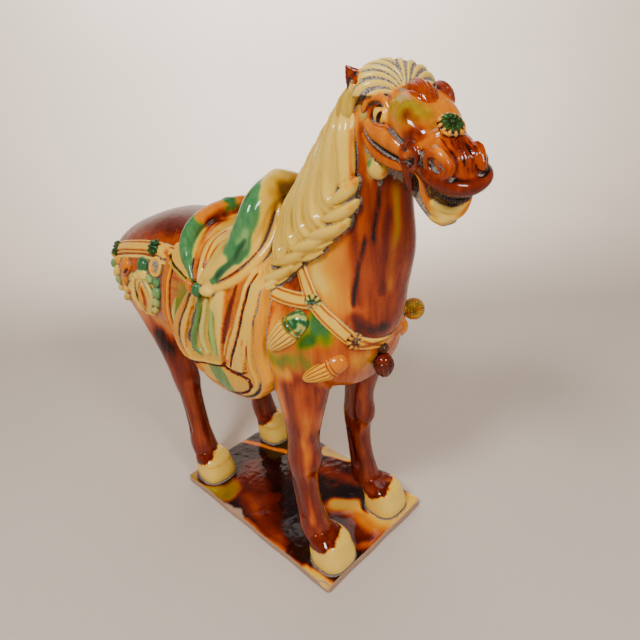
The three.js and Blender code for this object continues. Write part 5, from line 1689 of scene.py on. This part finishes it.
def glaze_material(name, colours, clay_colour, run_scale):
    """Lead glaze over white slip, fired low: colour that pools and runs, a deep wet gloss,
    and dull pitted soil where it was buried."""
    material, tree, shader = start_material(name)
    iron, copper, soil, bare = (put(tree, "ShaderNodeAttribute", {"attribute_name": label}).outputs["Fac"]
        for label in ("iron", "copper", "soil", "bare"))
    spot = put(tree, "ShaderNodeTexCoord").outputs["Object"]
    # the scale sets how far apart and how long the runs of glaze are
    runs = put(tree, "ShaderNodeMapping", {"Scale": run_scale}, {"Vector": spot})
    run_noise = put(tree, "ShaderNodeTexNoise", {"Scale": 1.0, "Detail": 3.0, "Roughness": 0.55},
        {"Vector": runs})
    # mottling about 1.5 mm across
    mottle = put(tree, "ShaderNodeTexNoise", {"Scale": 650.0, "Detail": 2.0}, {"Vector": spot})
    run_shift = put(tree, "ShaderNodeMath", {"operation": "MULTIPLY_ADD", 1: 0.34, 2: -0.17},
        {0: run_noise})
    fine_shift = put(tree, "ShaderNodeMath", {"operation": "MULTIPLY_ADD", 1: 0.1, 2: -0.05}, {0: mottle})
    shift = put(tree, "ShaderNodeMath", {"operation": "ADD"}, {0: run_shift, 1: fine_shift})
    # thin glaze hardly streaks, thick glaze streaks most
    gain = put(tree, "ShaderNodeMapRange", {"From Min": 0.05, "From Max": 0.5, "To Min": 0.16,
        "To Max": 0.9}, {"Value": iron})
    streaked = put(tree, "ShaderNodeMath", {"operation": "MULTIPLY_ADD"}, {0: shift, 1: gain, 2: iron})
    green_gain = put(tree, "ShaderNodeMath", {"operation": "MULTIPLY", 1: 1.3}, {0: copper})
    green = put(tree, "ShaderNodeMath", {"operation": "MULTIPLY_ADD"},
        {0: shift, 1: green_gain, 2: copper})
    warm = ramp(tree, streaked, colours["iron"])
    cool = ramp(tree, green, colours["copper"])
    mixed = put(tree, "ShaderNodeMix", {"data_type": "RGBA", "blend_type": "MULTIPLY", 0: 1.0},
        {6: warm, 7: cool}).outputs[2]
    # soil: grey crust with dark pits under 1 mm
    pits = put(tree, "ShaderNodeTexVoronoi", {"Scale": 900.0}, {"Vector": spot}).outputs["Distance"]
    pit_colour = ramp(tree, pits, [(0.0, linear("#2E2925")), (0.28, linear("#4A423B")),
        (0.45, colours["soil"]), (1.0, linear("#B9AFA4"))])
    grain = put(tree, "ShaderNodeTexNoise", {"Scale": 420.0, "Detail": 3.0}, {"Vector": spot})
    crust = put(tree, "ShaderNodeMath", {"operation": "MULTIPLY_ADD", 1: 0.9, 2: -0.45}, {0: grain})
    dirt_edge = put(tree, "ShaderNodeMath", {"operation": "ADD"}, {0: soil, 1: crust})
    dirt = put(tree, "ShaderNodeMapRange", {"From Min": 0.42, "From Max": 0.62}, {"Value": dirt_edge})
    glazed = put(tree, "ShaderNodeMix", {"data_type": "RGBA"}, {0: dirt, 6: mixed, 7: pit_colour}).outputs[2]
    clay = ramp(tree, grain, [(0.3, linear("#B08E78")), (0.7, clay_colour)])
    final = put(tree, "ShaderNodeMix", {"data_type": "RGBA"}, {0: bare, 6: glazed, 7: clay}).outputs[2]
    tree.links.new(final, shader.inputs["Base Color"])
    dull = put(tree, "ShaderNodeMath", {"operation": "MAXIMUM"}, {0: dirt, 1: bare})
    worn = put(tree, "ShaderNodeMath", {"operation": "MAXIMUM"}, {0: dull, 1: soil})
    rough = put(tree, "ShaderNodeMapRange", {"To Min": 0.1, "To Max": 0.85}, {"Value": worn})
    tree.links.new(socket_of(rough), shader.inputs["Roughness"])
    # the surface rolls gently every 9 mm, and is pitted where soil lies
    roll = put(tree, "ShaderNodeTexNoise", {"Scale": 110.0, "Detail": 1.0}, {"Vector": spot})
    soft = put(tree, "ShaderNodeBump", {"Strength": 0.25, "Distance": 0.0012}, {"Height": roll})
    pit_height = put(tree, "ShaderNodeMath", {"operation": "MULTIPLY"}, {0: pits, 1: dull})
    sharp = put(tree, "ShaderNodeBump", {"Strength": 0.7, "Distance": 0.0006},
        {"Height": pit_height, "Normal": soft})
    tree.links.new(socket_of(sharp), shader.inputs["Normal"])
    shader.inputs["IOR"].default_value = 1.5
    shader.inputs["Specular IOR Level"].default_value = 0.4
    return material


def floor_material(colour):
    """Matt seamless paper: even, with a barely seen tooth."""
    material, tree, shader = start_material("seamless_paper")
    spot = put(tree, "ShaderNodeTexCoord").outputs["Object"]
    cloud = put(tree, "ShaderNodeTexNoise", {"Scale": 3.0, "Detail": 2.0}, {"Vector": spot})
    shade = ramp(tree, cloud, [(0.3, [c * 0.96 for c in colour]), (0.7, colour)])
    tree.links.new(shade, shader.inputs["Base Color"])
    shader.inputs["Roughness"].default_value = 0.8
    return material


# What a user may change


def length(name, description, default):
    return bpy.props.FloatProperty(name=name, description=description, default=default, unit="LENGTH",
        subtype="DISTANCE")


def colour(name, description, code):
    return bpy.props.FloatVectorProperty(name=name, description=description, default=linear(code),
        subtype="COLOR")


class HorseSizes(bpy.types.PropertyGroup):
    body_cell: bpy.props.FloatProperty(name="Body Grain", description="Cell of the body's working clay",
        default=1.35, min=0.8, max=4.0)
    head_cell: bpy.props.FloatProperty(name="Head Grain", description="Cell of the head's working clay",
        default=0.62, min=0.4, max=3.0)
    dress_cell: bpy.props.FloatProperty(name="Dress Grain", description="Cell of the saddle's,"
        "mane's and straps' clay", default=0.9, min=0.5, max=3.0)
    strap_half: length("Strap Half Width", "Half the width of a harness strap", 0.006)
    strap_proud: length("Strap Relief", "How far a strap stands out of the skin", 0.0026)
    rosette_radius: length("Rosette Radius", "Radius of a harness rosette", 0.0075)
    petals: bpy.props.IntProperty(name="Petals", description="Petals of a rosette", default=8, min=3)
    ribs: bpy.props.IntProperty(name="Ribs", description="Ribs of a tassel", default=16, min=4)
    soil_reach: length("Soil Reach", "Width of the hollows that hold soil", 0.004)
    soil_amount: bpy.props.FloatProperty(name="Soil", description="How much burial soil is left",
        default=1.0, subtype="FACTOR", min=0.0, max=1.5)


class GlazeColours(bpy.types.PropertyGroup):
    cream: colour("Clear Glaze", "Clear glaze over slip", "#F2D25E")
    honey: colour("Honey", "Thin iron glaze", "#F2AC16")
    amber: colour("Amber", "Iron glaze", "#DC7A04")
    orange: colour("Orange Brown", "Thicker iron glaze", "#B24602")
    red: colour("Red Brown", "Thick iron glaze", "#741D02")
    dark: colour("Dark Brown", "Pooled iron glaze", "#260B07")
    pale_green: colour("Pale Green", "Thin copper glaze", "#86B56E")
    green: colour("Green", "Copper glaze over slip", "#3F8052")
    deep_green: colour("Deep Green", "Pooled copper glaze", "#1B5138")
    soil: colour("Soil", "Burial soil in the hollows", "#8A7C70")
    clay: colour("Fired Clay", "Bare fired clay", "#B99678")
    floor: colour("Floor", "Paper that the horse stands on", "#D9CBBD")


HORSE_GLAZE = "lead_glaze_over_slip"
PLINTH_GLAZE = "lead_glaze_and_bare_clay"


class HorseOperator(bpy.types.Operator):
    bl_options = {"REGISTER"}

    def finish_piece(self, piece, coat_name=HORSE_GLAZE, slot="coloured_glaze"):
        coat = bpy.data.materials.get(coat_name)
        if coat is None:
            raise RuntimeError("mix the glazes before the pieces are made")
        piece.data.materials.append(coat)
        return {"FINISHED"}


class TOMBHORSE_OT_glazes(HorseOperator):
    """Mixes the glazes for the horse and its plinth"""
    bl_idname = "tombhorse.glazes"
    bl_label = "Mix Glazes"

    def execute(self, context):
        c = context.scene.tombhorse_colours
        cream, dark = np.array(c.cream), np.array(c.dark)
        greens = [tuple(np.array(green) / cream) for green in (c.pale_green, c.green, c.deep_green)]
        browns = [tuple(brown) for brown in (c.cream, c.honey, c.amber, c.orange, c.red, c.dark)]
        colours = {"iron": [*zip((0.0, 0.2, 0.4, 0.58, 0.75, 0.9), browns), (1.0, tuple(dark * 0.35))],
            "copper": [(0.0, (1.0, 1.0, 1.0)), *zip((0.32, 0.62, 1.0), greens)], "soil": tuple(c.soil)}
        glaze_material(HORSE_GLAZE, colours, tuple(c.clay), (200, 200, 14))
        glaze_material(PLINTH_GLAZE, colours, tuple(c.clay), (45, 45, 45))
        return {"FINISHED"}


class TOMBHORSE_OT_body(HorseOperator):
    """Models the body, neck, legs, hooves and tail"""
    bl_idname = "tombhorse.body"
    bl_label = "Body"

    def execute(self, context):
        piece = build_body(context.scene.tombhorse_sizes.body_cell)
        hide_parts("horse")
        return self.finish_piece(piece)


class TOMBHORSE_OT_head(HorseOperator):
    """Models the head with its bridle, forelock and ears"""
    bl_idname = "tombhorse.head"
    bl_label = "Head"

    def execute(self, context):
        return self.finish_piece(build_head(context.scene.tombhorse_sizes.head_cell))


class TOMBHORSE_OT_mane(HorseOperator):
    """Models the combed locks of the mane"""
    bl_idname = "tombhorse.mane"
    bl_label = "Mane"

    def execute(self, context):
        return self.finish_piece(build_mane(context.scene.tombhorse_sizes.dress_cell))


class TOMBHORSE_OT_saddle(HorseOperator):
    """Models the saddle, its knotted cover and the blankets"""
    bl_idname = "tombhorse.saddle"
    bl_label = "Saddle and Blankets"

    def execute(self, context):
        return self.finish_piece(build_saddle(context.scene.tombhorse_sizes.dress_cell))


class TOMBHORSE_OT_straps(HorseOperator):
    """Models the breast straps, and the crupper straps with their pendants"""
    bl_idname = "tombhorse.straps"
    bl_label = "Straps"

    def execute(self, context):
        s = context.scene.tombhorse_sizes
        half, proud = s.strap_half * 1000, s.strap_proud * 1000
        self.finish_piece(build_breast_straps(s.dress_cell * 0.8, half, proud))
        return self.finish_piece(build_crupper(s.dress_cell * 0.75, half * 1.15, proud))


class TOMBHORSE_OT_ornaments(HorseOperator):
    """Casts the rosettes, tassels and bells and sets them on the straps"""
    bl_idname = "tombhorse.ornaments"
    bl_label = "Ornaments"

    def execute(self, context):
        s = context.scene.tombhorse_sizes
        radius = s.rosette_radius * 1000
        self.finish_piece(build_breast_ornaments(s.petals, radius, s.ribs))
        return self.finish_piece(build_crupper_ornaments(s.petals, radius * 1.15))


class TOMBHORSE_OT_plinth(HorseOperator):
    """Models the thin slab under the hooves"""
    bl_idname = "tombhorse.plinth"
    bl_label = "Plinth"

    def execute(self, context):
        piece = build_plinth(1.5)
        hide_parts("plinth")
        return self.finish_piece(piece, PLINTH_GLAZE, "plinth_glaze")


class TOMBHORSE_OT_coat(HorseOperator):
    """Brushes the colours on and settles soil in the hollows"""
    bl_idname = "tombhorse.coat"
    bl_label = "Coat"

    def execute(self, context):
        s = context.scene.tombhorse_sizes
        coat_pieces(s.soil_reach * 1000, s.soil_amount)
        return {"FINISHED"}


class TOMBHORSE_OT_stage(HorseOperator):
    """Lays the floor, hangs the lights and sets the camera"""
    bl_idname = "tombhorse.stage"
    bl_label = "Stage"

    def execute(self, context):
        lay_floor(tuple(context.scene.tombhorse_colours.floor))
        hang_lights()
        set_camera()
        return {"FINISHED"}


CAMERA_PLACE = (0.3763, -0.29547, 0.45173)
CAMERA_YAW = 136.806
CAMERA_PITCH = 25.733
CAMERA_ROLL = -4.998
CAMERA_LENS = 29.81
SENSOR_WIDTH = 36.0
NEAREST_SEEN = 0.02
FLOOR_RADIUS = 1.5
FLOOR_SIDES = 96
WALL_RADIUS = 0.5
WALL_TALL = 1.2
CURVE_STEPS = 12
ROOM_COLOUR = (1.0, 0.97, 0.93, 1)
ROOM_STRENGTH = 0.09
LIGHTS = [  # name, place and target in metres, width in metres, watts
    ("key", (0.25, -0.85, 1.25), (0, 0, 0.24), 0.26, 13.0),
    ("second", (1.05, -0.15, 1.0), (0, 0, 0.24), 0.24, 7.0),
    ("fill", (-0.6, 0.5, 1.5), (0, 0, 0.2), 0.9, 4.0),
    ("wall", (-0.75, 0.7, 1.15), (-1.9, 1.8, 0.35), 0.9, 46.0)]


def lay_floor(colour):
    """A round floor that curves up into a wall."""
    profile = [(FLOOR_RADIUS * share, 0.0) for share in (0.25, 0.5, 0.75, 1.0)]
    for step in range(1, CURVE_STEPS + 1):
        turn = math.pi / 2 * step / CURVE_STEPS
        profile.append((FLOOR_RADIUS + WALL_RADIUS * math.sin(turn), WALL_RADIUS * (1 - math.cos(turn))))
    profile.append((FLOOR_RADIUS + WALL_RADIUS, WALL_RADIUS + WALL_TALL))
    turns = [2 * math.pi * s / FLOOR_SIDES for s in range(FLOOR_SIDES)]
    places = [(0.0, 0.0, 0.0)] + [(radius * math.cos(t), radius * math.sin(t), z) for radius, z in profile
        for t in turns]
    after = [(s + 1) % FLOOR_SIDES for s in range(FLOOR_SIDES)]
    faces = [(0, 1 + s, 1 + t) for s, t in enumerate(after)]
    for ring in range(len(profile) - 1):
        inner = 1 + ring * FLOOR_SIDES
        outer = inner + FLOOR_SIDES
        faces += [(inner + s, outer + s, outer + t, inner + t) for s, t in enumerate(after)]
    mesh = bpy.data.meshes.new("floor")
    mesh.from_pydata(places, [], faces)
    mesh.polygons.foreach_set("use_smooth", [True] * len(mesh.polygons))
    mesh.materials.append(floor_material(colour))
    linked("floor", mesh)


def hang_lights():
    for name, place, target, size, power in LIGHTS:
        light = bpy.data.lights.new(name, "AREA")
        light.energy, light.size = power, size
        holder = linked(name, light)
        holder.location = place
        holder.rotation_euler = (Vector(target) - Vector(place)).to_track_quat("-Z", "Y").to_euler()
    world = bpy.data.worlds.new("soft_room")
    world.use_nodes = True
    background = world.node_tree.nodes["Background"].inputs
    background["Color"].default_value, background["Strength"].default_value = ROOM_COLOUR, ROOM_STRENGTH
    bpy.context.scene.world = world


def set_camera():
    yaw, pitch, roll = (math.radians(a) for a in (CAMERA_YAW, CAMERA_PITCH, CAMERA_ROLL))
    ahead = Vector((math.cos(yaw), math.sin(yaw), 0))
    right = Vector((math.sin(yaw), -math.cos(yaw), 0))
    forward = math.cos(pitch) * ahead - math.sin(pitch) * Vector((0, 0, 1))
    up = math.sin(pitch) * ahead + math.cos(pitch) * Vector((0, 0, 1))
    x = math.cos(roll) * right + math.sin(roll) * up
    y = -math.sin(roll) * right + math.cos(roll) * up
    camera = bpy.data.cameras.new("camera")
    camera.lens, camera.sensor_width, camera.clip_start = CAMERA_LENS, SENSOR_WIDTH, NEAREST_SEEN
    holder = linked("camera", camera)
    holder.matrix_world = Matrix.Translation(CAMERA_PLACE) @ Matrix(((x.x, y.x, -forward.x),
        (x.y, y.y, -forward.y), (x.z, y.z, -forward.z))).to_4x4()
    bpy.context.scene.camera = holder


PIECE_OPERATORS = [TOMBHORSE_OT_glazes, TOMBHORSE_OT_body, TOMBHORSE_OT_head, TOMBHORSE_OT_mane,
    TOMBHORSE_OT_saddle, TOMBHORSE_OT_straps, TOMBHORSE_OT_ornaments, TOMBHORSE_OT_plinth,
    TOMBHORSE_OT_coat, TOMBHORSE_OT_stage]


class TOMBHORSE_PT_panel(bpy.types.Panel):
    """Sizes, colours and steps of the horse"""
    bl_idname = "TOMBHORSE_PT_panel"
    bl_label = "Tomb Horse"
    bl_space_type = "VIEW_3D"
    bl_region_type = "UI"
    bl_category = "Tomb Horse"

    def draw(self, context):
        for group in (context.scene.tombhorse_sizes, context.scene.tombhorse_colours):
            for name in group.bl_rna.properties.keys():
                if name not in ("rna_type", "name"):
                    self.layout.prop(group, name)
        for operator in PIECE_OPERATORS:
            self.layout.operator(operator.bl_idname)


CLASSES = [HorseSizes, GlazeColours, *PIECE_OPERATORS, TOMBHORSE_PT_panel]


def register():
    for cls in CLASSES:
        bpy.utils.register_class(cls)
    bpy.types.Scene.tombhorse_sizes = bpy.props.PointerProperty(type=HorseSizes)
    bpy.types.Scene.tombhorse_colours = bpy.props.PointerProperty(type=GlazeColours)


def unregister():
    del bpy.types.Scene.tombhorse_colours
    del bpy.types.Scene.tombhorse_sizes
    for cls in reversed(CLASSES):
        bpy.utils.unregister_class(cls)


def main():
    register()
    for name in ("glazes", "body", "head", "mane", "saddle", "straps", "ornaments", "plinth", "coat",
            "stage"):
        getattr(bpy.ops.tombhorse, name)()


if __name__ == "__main__":
    main()
